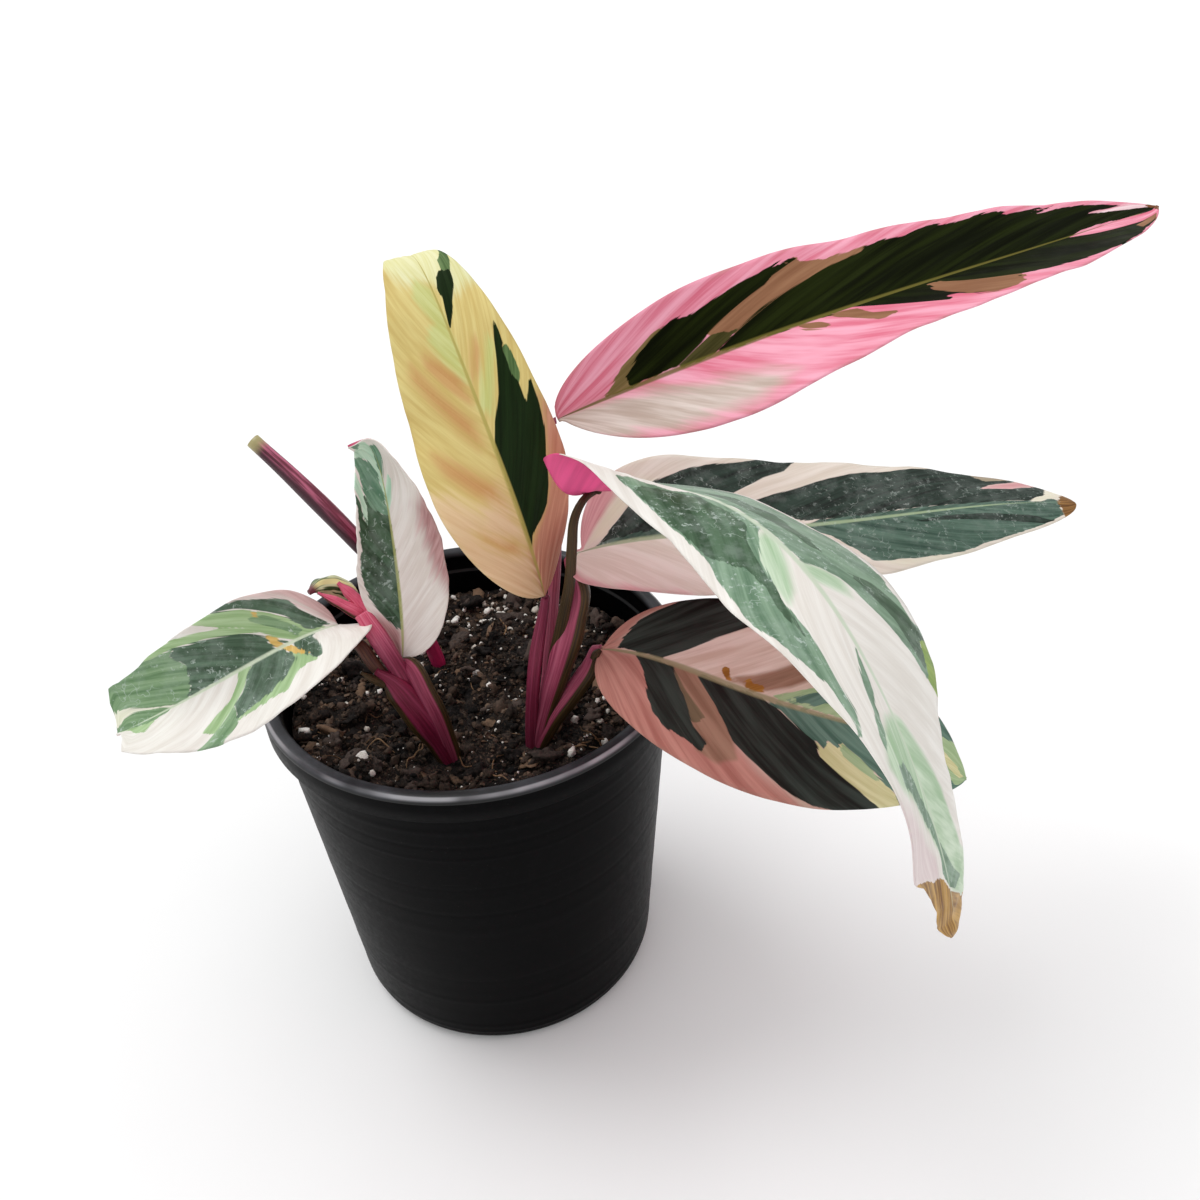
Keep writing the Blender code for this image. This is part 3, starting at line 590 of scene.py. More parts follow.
        # This lighter grey-green beside the rib is a painted sheen.
        ("green", 42, 2, 47, 8, 53, 25, 55.5, 30, 57.5, 40, 64, 40, 70, 55, 75, 110, 80, 110, 75, 65, 70, 30,
         66, 2),
        ("gold", 55.5, 30, 57.5, 38, 58.5, 27, 60.5, 33, 62, 26, 66, 45, 71, 65, 74, 85, 75, 110, 71, 110,
         65, 78, 60, 58, 56.5, 45),
        ("mint", 62, 27, 66, 40, 69, 55, 70, 68, 66, 55, 62, 40),
        ("green", 68, 2, 73, 30, 78, 60, 83, 110, 110, 110, 110, -110, 86, -110, 84, -70, 80, -30, 72, -4),
        ("mint", 86, -50, 88, -20, 90, 30, 95, 90, 110, 90, 110, -110, 93, -110),
        ("gold", 90, -35, 93, 10, 97, 50, 99, 20, 96, -30),
    ),
}


def spine_curve(leaf):
    return evenly(bezier(leaf["spine"]), SPINE_STEPS + 1)


def place_on_spine(leaf, share):
    """The spine's points at each share of its length, and the directions along it, up and to its right."""
    fine = spine_curve(leaf)
    tangents, normals = carried_frames(fine, leaf["face"])
    near = share * SPINE_STEPS
    steps = np.arange(SPINE_STEPS + 1)

    def read(rows):
        return np.stack([np.interp(near, steps, rows[:, k]) for k in range(3)], 1)

    middle, along, up = read(fine), read(tangents), read(normals)
    side = np.cross(along, up)
    turn = np.radians(eased(leaf["twist"], share))[:, None]
    return middle, along, up * np.cos(turn) - side * np.sin(turn), side * np.cos(turn) + up * np.sin(turn)


def half_width(leaf, half, share):
    widest = leaf["widest"]
    lobe = leaf["lobe"][half]
    before = np.clip(1 - share / widest, 0, 1)
    after = np.clip((share - widest) / (1 - widest), 0, 1)
    rising = lobe + (1 - lobe) * (1 - before**2) ** BASE_ROUND
    falling = (1 - after**2) ** leaf["tip_round"]
    width = leaf["half_width"][half] * np.where(share < widest, rising, falling)
    least = LEAST_HALF_WIDTH[0] + (LEAST_HALF_WIDTH[1] - LEAST_HALF_WIDTH[0]) * share
    width = np.maximum(width, least)
    return width * np.interp(share, *leaf["trim"][half]) if "trim" in leaf else width


def blade_rows(leaf, share, columns):
    """The blade's middle surface: rows from base to tip, each from the left edge to the right edge."""
    middle, along, up, side = place_on_spine(leaf, share)
    columns = np.array(columns)
    steps = np.diff(columns)
    centres = (columns[1:] + columns[:-1]) / 2
    halves = []
    for half, sign in ((0, -1.0), (1, 1.0)):
        width = half_width(leaf, half, share)
        lean = np.radians(eased((leaf["lean"][half],) + SIDE_VEIN_LEAN, share))[:, None, None]
        lift = np.radians(eased(leaf["lift"][half], share))[:, None]
        rise = (lift + math.radians(leaf["curl"]) * centres[None, :])[..., None]
        across = np.cos(rise) * sign * side[:, None, :] + np.sin(rise) * up[:, None, :]
        heading = across * np.cos(lean) + along[:, None, :] * np.sin(lean)
        move = heading * (width[:, None] * steps)[..., None]
        rows = np.concatenate([middle[:, None, :], middle[:, None, :] + np.cumsum(move, axis=1)], axis=1)
        ripple = RIPPLE_HEIGHT * np.sin(math.tau * RIPPLE_COUNT * share + half * 2.0)
        ripple *= np.sin(math.pi * share)
        rows += up[:, None, :] * (ripple[:, None] * columns**2)[..., None]
        if half == 1 and "flap" in leaf:
            reach, shift = leaf["flap"]
            fold = (1 - smooth(0, reach, share))[:, None] * np.sin(math.pi * columns)[None, :]
            rows += fold[..., None] * np.array(shift)
        halves.append(rows)
    return np.concatenate([halves[0][:, ::-1], halves[1][:, 1:]], axis=1)


def row_normals(rows):
    down = np.gradient(rows, axis=0)
    over = np.gradient(rows, axis=1)
    normals = np.cross(over, down)
    return normals / np.linalg.norm(normals, axis=2)[..., None]


def depth_inside(points, corners):
    """How far each point lies inside a closed outline, below zero outside it."""
    corners = np.asarray(corners, float)
    nearest = np.full(len(points), np.inf)
    inside = np.zeros(len(points), bool)
    for a, b in zip(corners, np.roll(corners, -1, axis=0)):
        edge = b - a
        t = np.clip(((points - a) @ edge) / max(edge @ edge, 1e-12), 0, 1)
        nearest = np.minimum(nearest, np.linalg.norm(points - a - t[:, None] * edge, axis=1))
        crosses = (a[1] > points[:, 1]) != (b[1] > points[:, 1])
        if a[1] != b[1]:
            at = a[0] + (points[:, 1] - a[1]) / (b[1] - a[1]) * edge[0]
            inside ^= crosses & (points[:, 0] < at)
    return np.where(inside, nearest, -nearest)


SKIRT = 0.45  # how far a patch runs on under the higher kinds
FAR_OUTSIDE = -30.0


def patch_fields(patches, u, v, length, width, skirts):
    """For each kind of patch, how far each point lies inside its patches, in millimetres."""
    points = np.stack([u * length, v * width], 1)
    used = {patch[0] for patch in patches}
    fields = {kind: np.full(len(u), FAR_OUTSIDE) for kind in LAYERS if kind in used}
    for kind, *corners in patches:
        depth = depth_inside(points, np.reshape(corners, (-1, 2)) / 100 * (length, width))
        fields[kind] = np.maximum(fields[kind], depth + skirts.get(kind, SKIRT))
        for higher in LAYERS[LAYERS.index(kind) + 1:]:
            if higher in used:
                fields[higher] = np.minimum(fields[higher], -depth)
    return fields


VEIN_SLOPE = {  # how far the side veins run on towards the tip, in u, on the left and right half
    "leaf_low_left": (0.22, 0.36),
    "leaf_small_upright": (0.2, 0.28),
    "leaf_tall_cream": (0.22, 0.32),
    "leaf_top_right": (0.28, 0.15),
    "leaf_front_arch": (0.1, 0.3),
    "leaf_mid_right": (0.34, 0.25),
    "leaf_low_right": (0.25, 0.28),
}

# Each blade's colours, as a picture shows them: for the plain blade and each kind of patch a darker and a lighter
# one, then the rib's, and the under side's plain and marked ones. Spots is the strength of the water stains and of the
# painted sheen between them, shine that of the gloss, and jag that of the patches' steps. Soft and skirts hold
# millimetres for some kinds.
LOOKS = {
    "leaf_low_left": dict(
        base=((228, 222, 214), (243, 240, 234)), rose=((204, 164, 160), (228, 200, 196)),
        pale=((226, 228, 200), (242, 242, 222)), gold=((206, 166, 84), (228, 196, 122)),
        mint=((146, 178, 124), (182, 208, 162)), green=((98, 132, 92), (142, 172, 132)),
        dark=((58, 80, 60), (98, 124, 102)), brown=((120, 75, 35), (170, 120, 60)), rib=(208, 222, 194),
        under=((210, 150, 150), (120, 60, 70)), spots=0.55),
    # This blade's rose is painted light: shade along its right edge, and the sheath behind it glowing through low on
    # the left.
    "leaf_small_upright": dict(
        base=((224, 212, 204), (240, 232, 226)), rose=((162, 108, 110), (204, 164, 162)),
        mint=((172, 206, 180), (208, 230, 208)), green=((88, 126, 100), (126, 160, 134)),
        dark=((44, 64, 44), (76, 102, 78)), rib=(170, 172, 108), under=((200, 60, 105), (130, 25, 65)), spots=0.5),
    # This cream blade's yellow, and the orange-brown tan between its veins, are painted glow of light shining through
    # it from behind.
    "leaf_tall_cream": dict(
        base=((212, 186, 114), (230, 212, 142)), gold=((218, 184, 140), (232, 204, 162)),
        rose=((190, 124, 100), (214, 160, 132)),
        pale=((224, 220, 154), (238, 236, 190)), tan=((203, 150, 94), (214, 170, 112)),
        mint=((200, 200, 120), (216, 218, 150)), green=((66, 92, 52), (108, 134, 84)),
        dark=((17, 30, 9), (28, 46, 18)), rib=(182, 168, 92), under=((222, 190, 140), (120, 70, 60)),
        shine=0.07, jag=0.35, soft=dict(tan=2.5, mint=1.6, gold=4.0)),
    # This blade's rose and tan are painted glow of light shining through it from its pink and maroon under side.
    "leaf_top_right": dict(
        base=((194, 174, 162), (230, 216, 208)), rose=((223, 114, 138), (247, 175, 195)),
        pale=((240, 200, 208), (248, 222, 226)), tan=((138, 96, 70), (162, 120, 90)),
        mint=((112, 96, 58), (142, 120, 80)), green=((58, 56, 26), (88, 84, 48)), dark=((11, 15, 2), (32, 40, 9)),
        brown=((110, 66, 40), (150, 100, 70)), rib=(112, 104, 48), under=((226, 120, 150), (110, 25, 55)),
        shine=0.03, jag=1.0, soft=dict(rose=4.5), skirts=dict(tan=1.2)),
    "leaf_front_arch": dict(
        base=((228, 222, 214), (243, 239, 233)), rose=((236, 72, 136), (250, 112, 164)),
        pale=((222, 204, 204), (236, 222, 220)), mint=((158, 190, 150), (212, 228, 204)),
        gold=((118, 150, 62), (168, 188, 100)), green=((88, 120, 94), (138, 166, 140)),
        dark=((46, 72, 48), (84, 112, 86)), brown=((122, 82, 38), (206, 164, 96)), rib=(200, 214, 190),
        under=((240, 96, 152), (205, 70, 120)), spots=0.6, soft=dict(rose=0.0, mint=1.6)),
    "leaf_mid_right": dict(
        base=((224, 214, 198), (240, 233, 221)), rose=((204, 136, 142), (226, 176, 176)),
        pale=((228, 224, 198), (240, 236, 218)), tan=((156, 142, 118), (182, 170, 148)),
        green=((52, 78, 66), (98, 126, 110)), dark=((17, 25, 20), (48, 66, 56)),
        brown=((100, 64, 30), (170, 126, 70)), rib=(168, 190, 150), under=((210, 120, 140), (110, 30, 60)),
        spots=0.35),
    "leaf_low_right": dict(
        base=((206, 180, 162), (230, 212, 198)), rose=((172, 114, 102), (202, 148, 134)),
        tan=((140, 106, 86), (168, 134, 112)), moss=((98, 84, 64), (122, 106, 82)),
        gold=((204, 200, 146), (228, 224, 176)), mint=((148, 176, 128), (180, 200, 156)),
        green=((70, 100, 86), (114, 144, 128)), dark=((27, 27, 23), (58, 66, 60)),
        brown=((140, 90, 36), (178, 128, 62)), rib=(150, 144, 108), under=((196, 110, 120), (100, 30, 50)),
        shine=0.1, soft=dict(tan=0.8)),
}
SOFT = {"rose": 3.0, "pale": 2.5}  # the kinds of patch that fade out at their edge, and over how many millimetres
WANDER = 3.5  # how far a fading edge strays, in its own widths
UNDER_SHADE = 0.8
VEIN_STEPS = ((64.0, 0.9, 0.0), (170.0, 0.45, 57.0))  # the steps' number along a blade, height and seed
STAIN_AND_SHEEN_COLOUR = (204, 218, 210)


def ragged(graph, w, seed):
    """The steps that the small veins give a patch's edge, in millimetres."""
    steps = []
    for count, height, shift in VEIN_STEPS:
        step = graph.random(graph.math("ADD", graph.math("FLOOR", graph.times(w, count)), seed + shift))
        steps.append(graph.times(graph.math("SUBTRACT", step, 0.5), height))
    return graph.math("ADD", *steps)


def water_stains_and_sheen(graph, point):
    """Dried drops and runs of hard water, and between them a thin light film that is a painted sheen."""
    run = graph.span(graph.away(graph.noise(point, 0.24, 2.0), 0.5), 0.018, 0.004)
    run = graph.times(run, graph.span(graph.noise(point, 0.13, 1.0), 0.53, 0.62, 0.0, 0.7))
    drop = graph.times(graph.span(graph.noise(point, 0.55, 4.0, 0.7), 0.56, 0.66),
                       graph.span(graph.noise(point, 0.08, 2.0), 0.4, 0.56))
    # A broad faint lightening: a painted sheen.
    painted_sheen = graph.times(graph.span(graph.noise(point, 0.16, 4.0, 0.65), 0.42, 0.66), 0.24)
    return graph.most(graph.most(run, drop), painted_sheen)


def blade_material(name, seed, under):
    """The upper or the under side of one blade, with its patches, veins, water stains and painted sheen."""
    look = LOOKS[name]
    graph = Graph(name + ("_under" if under else "_upper"))
    u, v, w = graph.parts("place")
    out = graph.math("ABSOLUTE", v)
    lined = graph.noise(graph.vector(graph.times(w, 150.0), graph.times(out, 2.5), seed), 1.0, 2.0)
    broad = graph.noise(graph.vector(graph.times(w, 26.0), graph.times(out, 1.2), seed + 5.0))
    jag = graph.times(ragged(graph, w, seed), look.get("jag", 0.7))
    streak = graph.span(graph.math("ADD", graph.times(broad, 0.85), graph.times(lined, 0.15)), 0.34, 0.66)
    if under:
        plain = srgb(*look["under"][0])
        colour = graph.mix(streak, plain, (*(UNDER_SHADE * c for c in plain[:3]), 1.0))
    else:
        colour = graph.between(streak, look["base"])
    green = 0.0
    used = {patch[0] for patch in PATCHES[name]}
    for kind in (kind for kind in LAYERS if kind in used):
        field = graph.attribute(kind)
        soft = look.get("soft", {}).get(kind, SOFT.get(kind, 0.0))
        if soft:
            stray = graph.times(graph.math("SUBTRACT", broad, 0.5), soft * WANDER)
            mask = graph.span(graph.math("ADD", field, stray), -soft, soft)
        else:
            mask = graph.span(graph.math("ADD", field, jag), -0.2, 0.2)
        if not under or kind in ("brown", "gold"):
            colour = graph.mix(mask, colour, graph.between(streak, look[kind]))
        if kind in ("green", "dark"):
            green = graph.most(green, mask)
    if under:
        colour = graph.mix(green, colour, srgb(*look["under"][1]))
    else:
        rib = graph.span(out, graph.math("MULTIPLY_ADD", u, -0.035, 0.06),
                         graph.math("MULTIPLY_ADD", u, -0.018, 0.022))
        rib = graph.times(rib, graph.span(u, 0.985, 0.8, 0.0, 0.85))
        colour = graph.mix(rib, colour, srgb(*look["rib"]))
    colour = graph.shaded(colour, graph.span(lined, 0.3, 0.7, 0.98, 1.01, "LINEAR"))
    point = graph.place()
    if look.get("spots") and not under:
        # The water stains, with the painted sheen between them, lighten the green and dark patches.
        stain_and_sheen = graph.times(graph.times(water_stains_and_sheen(graph, point), green), look["spots"])
        colour = graph.mix(stain_and_sheen, colour, srgb(*STAIN_AND_SHEEN_COLOUR))
    roughness = graph.span(graph.noise(point, 0.25), 0.3, 0.7, 0.36, 0.5, "LINEAR")
    bump = graph.bump(broad, 0.0004, 0.25, graph.bump(lined, 0.0001, 0.3))
    return graph.finish(colour, roughness, bump, look.get("shine", 0.16))


def crumpled(rows, u, start, size, seed):
    """The blade's rows with the dry tip's crumples, from the share where they start."""
    amount = smooth(start, start + CRUMPLE_FADE, u) * size
    for axis in range(3):
        shift = Vector((axis * 9.0 + seed, 0, 0))
        push = [[noise.noise(Vector(p * CRUMPLE_SCALE) + shift) for p in row] for row in rows]
        rows[..., axis] += np.array(push) * amount
    return rows


def make_blade(name, seed):
    leaf = LEAVES[name]
    share = np.linspace(0, 1, BLADE_STATIONS + 1)
    share = (1 - END_CROWDING) * share + END_CROWDING * (1 - np.cos(math.pi * share)) / 2
    columns = np.linspace(0, 1, BLADE_COLUMNS + 1)
    rows = blade_rows(leaf, share, columns)
    long, wide = rows.shape[:2]
    v = np.broadcast_to(np.r_[-columns[::-1], columns[1:]], (long, wide))
    u = np.broadcast_to(share[:, None], (long, wide))
    w = u - np.where(v < 0, *VEIN_SLOPE[name]) * np.abs(v)
    draws = random.Random(seed)
    # The folds fade towards the rib, the edge and both ends, and the waves grow towards the edge.
    quilt = sum(np.sin(math.tau * (w * count + draws.random())) * size for count, size in QUILT)
    quilt *= smooth(0.02, 0.3, np.abs(v)) * (1 - 0.6 * np.abs(v)) * np.sin(math.pi * u) ** 0.5
    wave = sum(np.sin(math.tau * (u * count + draws.random() + (v > 0) * 0.37)) * size for count, size in WAVES)
    wave *= np.abs(v) ** 3 * np.sin(math.pi * np.clip(u * 0.98 + 0.01, 0, 1))
    rows = rows + row_normals(rows) * (quilt + wave)[..., None]
    if "crumple" in leaf:
        rows = crumpled(rows, u, *leaf["crumple"], seed)
    normals = row_normals(rows)
    thick = EDGE_THICKNESS + (BLADE_THICKNESS - EDGE_THICKNESS) * (1 - np.abs(v) ** 4)
    rib = np.exp(-((v / RIB_SHARE) ** 2)) * (1 - 0.7 * u)
    top = rows + normals * (thick / 2 - RIB_GROOVE * rib)[..., None]
    bottom = rows - normals * (thick / 2 + RIB_DEPTH * rib)[..., None]
    points = np.concatenate([top.reshape(-1, 3), bottom.reshape(-1, 3)])
    lower = long * wide
    upper = grid_faces(long, wide)
    border = list(range(wide))
    border += [i * wide + wide - 1 for i in range(1, long)]
    border += [(long - 1) * wide + j for j in range(wide - 2, -1, -1)]
    border += [i * wide for i in range(long - 2, 0, -1)]
    faces = upper + [tuple(k + lower for k in face[::-1]) for face in upper]
    faces += [(a, a + lower, b + lower, b) for a, b in zip(border, border[1:] + border[:1])]
    sides = np.zeros(len(faces), np.int32)
    sides[len(upper):2 * len(upper)] = 1
    materials = [blade_material(name, seed, under) for under in (False, True)]
    piece = add_piece("blade_" + name[5:], points, faces, materials, [name],
                      sides)
    length = np.linalg.norm(np.diff(spine_curve(leaf), axis=0), axis=1).sum()
    flat_u, flat_v = u.reshape(-1), v.reshape(-1)
    store(piece, "place", np.tile(np.stack([flat_u, flat_v, w.reshape(-1)], 1), (2, 1)))
    fields = patch_fields(PATCHES[name], flat_u, flat_v, length, max(leaf["half_width"]),
                          LOOKS[name].get("skirts", {}))
    for kind, field in fields.items():
        store(piece, kind, np.tile(field, 2))


# Stalks, the rolled leaf and the young leaf

STALK_SIDES = 24
STALK_STATIONS = 56
BLADE_LEAD = 2.0
BLADE_SEAT = 0.5
UNDER_BLADE = 0.3

# Each stalk's path, its radii along it, its channel's depth at the foot and the top, the way that the channel opens,
# and its skin: how rosy it is, how brown, and the turn from which its side is olive, below zero for the left. A
# stalk with a leaf runs on to the blade's base, and under says how far below it.
STALKS = {
    "stems_left": [
        dict(points=((-11, -29, 104), (-11.5, -29, 109), (-15.6, -28.5, 121.5), (-19.8, -28, 131.5), (-23.2, -27, 138),
                     (-27.3, -26, 142)),
             radius=(2.6, 3.3, 4.6, 4.2, 1.2), channel=(0.1, 0.15), opens=(0.2, -1, 0.3),
             skin=(0.05, 0.0, -0.2)),
        dict(points=((-21.5, -26.5, 134), (-27.3, -24, 142.5), (-30.5, -21, 148)),
             radius=(1.4, 2.0, 1.0), channel=(0.1, 0.05), opens=(0, -1, 0.4), leaf="leaf_low_left",
             under=1.5, skin=(0.2, 0.85, -0.3)),
        dict(points=((-15, -28.5, 124), (-17.8, -27.2, 131), (-20.7, -25, 140), (-24.8, -21, 148.8),
                     (-28.6, -16.5, 155.7)),
             radius=(0.8, 2.2, 2.7, 2.9, 2.4), channel=(0.1, 0.25), opens=(0.3, -1, 0.6),
             skin=(0.1, 0.0, 1.0), rosier=0.8),
        dict(points=((-10, -29.5, 104), (-9.7, -29.5, 109.5), (-12.1, -29.3, 125), (-14.4, -28, 133.5),
                     (-16.9, -25, 140.5)),
             radius=(2.2, 2.4, 2.7, 2.5, 1.7), wide=1.15, channel=(0.25, 0.1), opens=(0, -1, 0.3),
             leaf="leaf_small_upright", skin=(0.25, 0.0, 0.2)),
        dict(points=((-26.5, -14.5, 152), (-28.5, -12.2, 154.5), (-31.5, -9.5, 158), (-34.5, -8, 161.5)),
             radius=(2.0, 2.2, 1.8, 0.6), channel=(0.3, 0), opens=(-1, -1, 0), skin=(0.95, 0.0, 1.0)),
        dict(points=((-26.5, -15.5, 151), (-29, -13.5, 153), (-34, -12.5, 157), (-40, -12, 161.5)),
             radius=(1.6, 2.1, 1.5, 0.4), channel=(0.3, 0), opens=(0, 1, 1), skin=(0.95, 0.0, 1.0)),
        dict(points=((-25.5, -28, 138.5), (-28.4, -28.2, 141.2), (-31, -28, 143.8)),
             radius=(1.3, 1.2, 0.5), wide=0.8, channel=(0, 0), opens=(0, -1, 0), skin=(0.1, 1.0, 1.0)),
    ],
    "stems_right": [
        dict(points=((13.7, -29.6, 104), (13.9, -29.6, 110.6), (15.6, -28.5, 125.3), (18, -26.3, 139)),
             radius=(1.6, 1.9, 2.0, 1.3), channel=(0.2, 0.1), opens=(0, -1, 0.2),
             leaf="leaf_tall_cream", skin=(0.12, 0.0, 1.0)),
        dict(points=((15.2, -29, 104), (18, -25.5, 114), (21.5, -21, 128), (25, -15, 146.5), (28.5, -9.5, 166.5),
                     (30, -7.5, 184.5), (29.5, -8, 199)),
             radius=(2.0, 1.9, 1.7, 1.2, 1.0), channel=(0.2, 0.0), opens=(0, -1, 0.2),
             leaf="leaf_top_right", skin=(0.5, 0.1, 1.0)),
        dict(points=((17.5, -28, 104.5), (21.8, -26.5, 131), (26.3, -29.0, 152.6), (28.7, -31.0, 165.2),
                     (30, -31.5, 177), (31.2, -31.0, 185.2), (34.2, -29, 189.6)),
             radius=(2.4, 1.9, 1.7, 1.45, 0.9), channel=(0.2, 0.0), opens=(-0.4, -1, 0.2),
             leaf="leaf_front_arch", under=1.2, skin=(0.3, 1.0, 0.1)),
        dict(points=((15.9, -29.5, 104.5), (16.4, -29.4, 111), (20.9, -28.5, 125.3), (25.2, -27.8, 137.7),
                     (29.6, -27.3, 151.6), (31.6, -26.8, 160.5)),
             radius=(2.0, 2.6, 3.6, 4.2, 3.4, 1.3), channel=(0.2, 0.15), opens=(-0.3, -1, 0.2),
             leaf="leaf_mid_right", under=2.2, skin=(0.38, 0.0, 0.1)),
        dict(points=((16.4, -30, 104.5), (16.8, -30, 109.4), (21.7, -29.8, 118.7), (27.8, -29, 126.5),
                     (32.8, -28, 133)),
             radius=(2.0, 2.6, 3.1, 3.0, 1.6), channel=(0.2, 0.1), opens=(-0.6, -0.8, 0.6),
             leaf="leaf_low_right", under=0.8, skin=(0.45, 0.0, 0.08)),
        dict(points=((34, -28.8, 137.2), (35.4, -28.4, 138.6), (36.6, -28, 139.6)),
             radius=(0.9, 1.3, 0.7), channel=(0, 0), opens=(0, -1, 0), skin=(0.1, 1.0, 1.0)),
    ],
}
ROLLED_LEAF = ((-11, 18, 84), (-11, 18, 100), (-12, 18, 113), (-20, 18, 140), (-31, 20, 160), (-45, 30, 176),
               (-56, 38, 187))
ROLLED_RADIUS = (2.2, 2.3, 2.6, 2.9, 2.3)
YOUNG_LEAF = ((-30.5, -6.0, 152.6), (-33.1, -5.0, 156.1), (-36.8, -6.0, 159.1), (-40.0, -9.0, 161.7),
              (-42.3, -11.5, 161.7))
YOUNG_RADIUS = (1.6, 3.0, 3.2, 2.4, 0.8)
PATH_FINENESS = 4
CHANNEL_WIDTH = 0.7  # radians


def tube_rings(points, radius, channel=(0.0, 0.0), opens=(0, -1, 0), stations=STALK_STATIONS, sides=STALK_SIDES,
               reach=None, wide=1.0):
    """Rings along a tapered stalk, with a channel down the side it opens to, and each ring point's place."""
    path = evenly(through(points), stations * PATH_FINENESS + 1)
    path, tangents, normals = (rows[::PATH_FINENESS] for rows in (path, *carried_frames(path, opens)))
    share = np.linspace(0, 1, len(path))
    radii = eased(radius, share)
    depth = eased(channel, share)
    angles = math.tau * np.arange(sides) / sides
    turned = np.arctan2(np.sin(angles), np.cos(angles))
    side = np.cross(tangents, normals)
    far = radii[:, None] * (1 - depth[:, None] * np.exp(-((turned[None, :] / CHANNEL_WIDTH) ** 2)))
    if reach is not None:
        far = far * reach(share[:, None], turned[None, :])
    rings = path[:, None, :] + far[..., None] * (
        np.cos(angles)[None, :, None] * normals[:, None, :]
        + wide * np.sin(angles)[None, :, None] * side[:, None, :])
    places = np.stack([np.broadcast_to(share[:, None], far.shape),
                       np.broadcast_to(turned[None, :] / math.pi, far.shape), far], -1)
    return rings, places


def stalk_points(stalk):
    """A stalk's points, ending just short of the blade it carries and in line with its rib."""
    if "leaf" not in stalk:
        return stalk["points"]
    middle, along, up, _ = place_on_spine(LEAVES[stalk["leaf"]], np.zeros(1))
    seat = middle[0] - up[0] * stalk.get("under", UNDER_BLADE)
    return (*stalk["points"], seat - along[0] * BLADE_LEAD, seat - along[0] * BLADE_SEAT)


def stalk_material(name):
    """Dark crimson to rose on the open side, olive brown on one side and at the back. Painted highlight lines run
    along the channel's ridges, and painted shade darkens the stalks towards the soil.
    """
    graph = Graph(name)
    along, around, _ = graph.parts("place")
    rosy, brown, side = graph.parts("skin")
    point = graph.place()
    grain = graph.noise(graph.vector(graph.times(around, 22.0), graph.times(along, 3.0), graph.attribute("kind")))
    tone = graph.span(grain, 0.3, 0.7)
    dusty, bright = graph.span(rosy, 0.0, 0.5, kind="LINEAR"), graph.span(rosy, 0.5, 1.0, kind="LINEAR")
    shades = []
    for crimson, mauve, rose in (((84, 7, 34), (146, 56, 84), (204, 66, 100)),
                                 ((120, 18, 56), (186, 92, 118), (238, 120, 146))):
        shades.append(graph.mix(bright, graph.mix(dusty, srgb(*crimson), srgb(*mauve)), srgb(*rose)))
    pink = graph.mix(tone, *shades)
    olive = graph.between(tone, ((36, 26, 13), (80, 60, 30)))
    turned = graph.times(around, graph.math("SIGN", side))
    turned = graph.math("SUBTRACT", turned, graph.math("ABSOLUTE", side))
    turned = graph.math("MULTIPLY_ADD", grain, 0.08, turned)
    backed = graph.span(graph.math("ABSOLUTE", around), 0.62, 0.8)
    masked = graph.most(graph.most(graph.span(turned, 0.02, 0.08), backed), brown)
    # Lighter rose lines along the channel's ridges: a painted highlight.
    edge = graph.span(graph.away(graph.math("ABSOLUTE", around), 0.16), 0.06, 0.0, 0.0, 0.4)
    colour = graph.mix(edge, pink, graph.between(rosy, ((150, 50, 88), (236, 150, 170))))
    colour = graph.mix(masked, colour, olive)
    # Darker towards the soil: painted shade.
    height = graph.split(point)[2]
    colour = graph.shaded(colour, graph.span(height, 105.0, 140.0, 0.7, 1.0))
    bump = graph.bump(graph.noise(point, 1.2), 0.0002, 0.3, graph.bump(grain, 0.0005, 0.5))
    return graph.finish(colour, graph.span(grain, 0.3, 0.7, 0.34, 0.5, "LINEAR"), bump, shine=0.25)


def make_stems(name):
    material = stalk_material(name)
    points, places, kinds, skins, faces = [], [], [], [], []
    for k, stalk in enumerate(STALKS[name]):
        rings, where = tube_rings(stalk_points(stalk), stalk["radius"], stalk["channel"], stalk["opens"],
                                  wide=stalk.get("wide", 1.0))
        faces += ring_faces(len(rings), STALK_SIDES, len(points))
        points += rings.reshape(-1, 3).tolist()
        places += where.reshape(-1, 3).tolist()
        kinds += [float(k)] * rings[..., 0].size
        rosier = stalk.get("rosier", 0.0) * smooth(0.5, 1.0, where[..., 0].reshape(-1))
        skins += (np.array(stalk["skin"]) + rosier[:, None] * (1, 0, 0)).tolist()
    piece = add_piece(name + "_stalks", points, faces, [material], [name])
    store(piece, "place", places)
    store(piece, "kind", kinds)
    store(piece, "skin", skins)


def add_furled(name, node, material, *shape, **settings):
    """A leaf that is still rolled or curled, as a tube."""
    rings, where = tube_rings(*shape, **settings)
    piece = add_piece(name, rings.reshape(-1, 3), ring_faces(len(rings), STALK_SIDES), [material], [node])
    store(piece, "place", where.reshape(-1, 3))


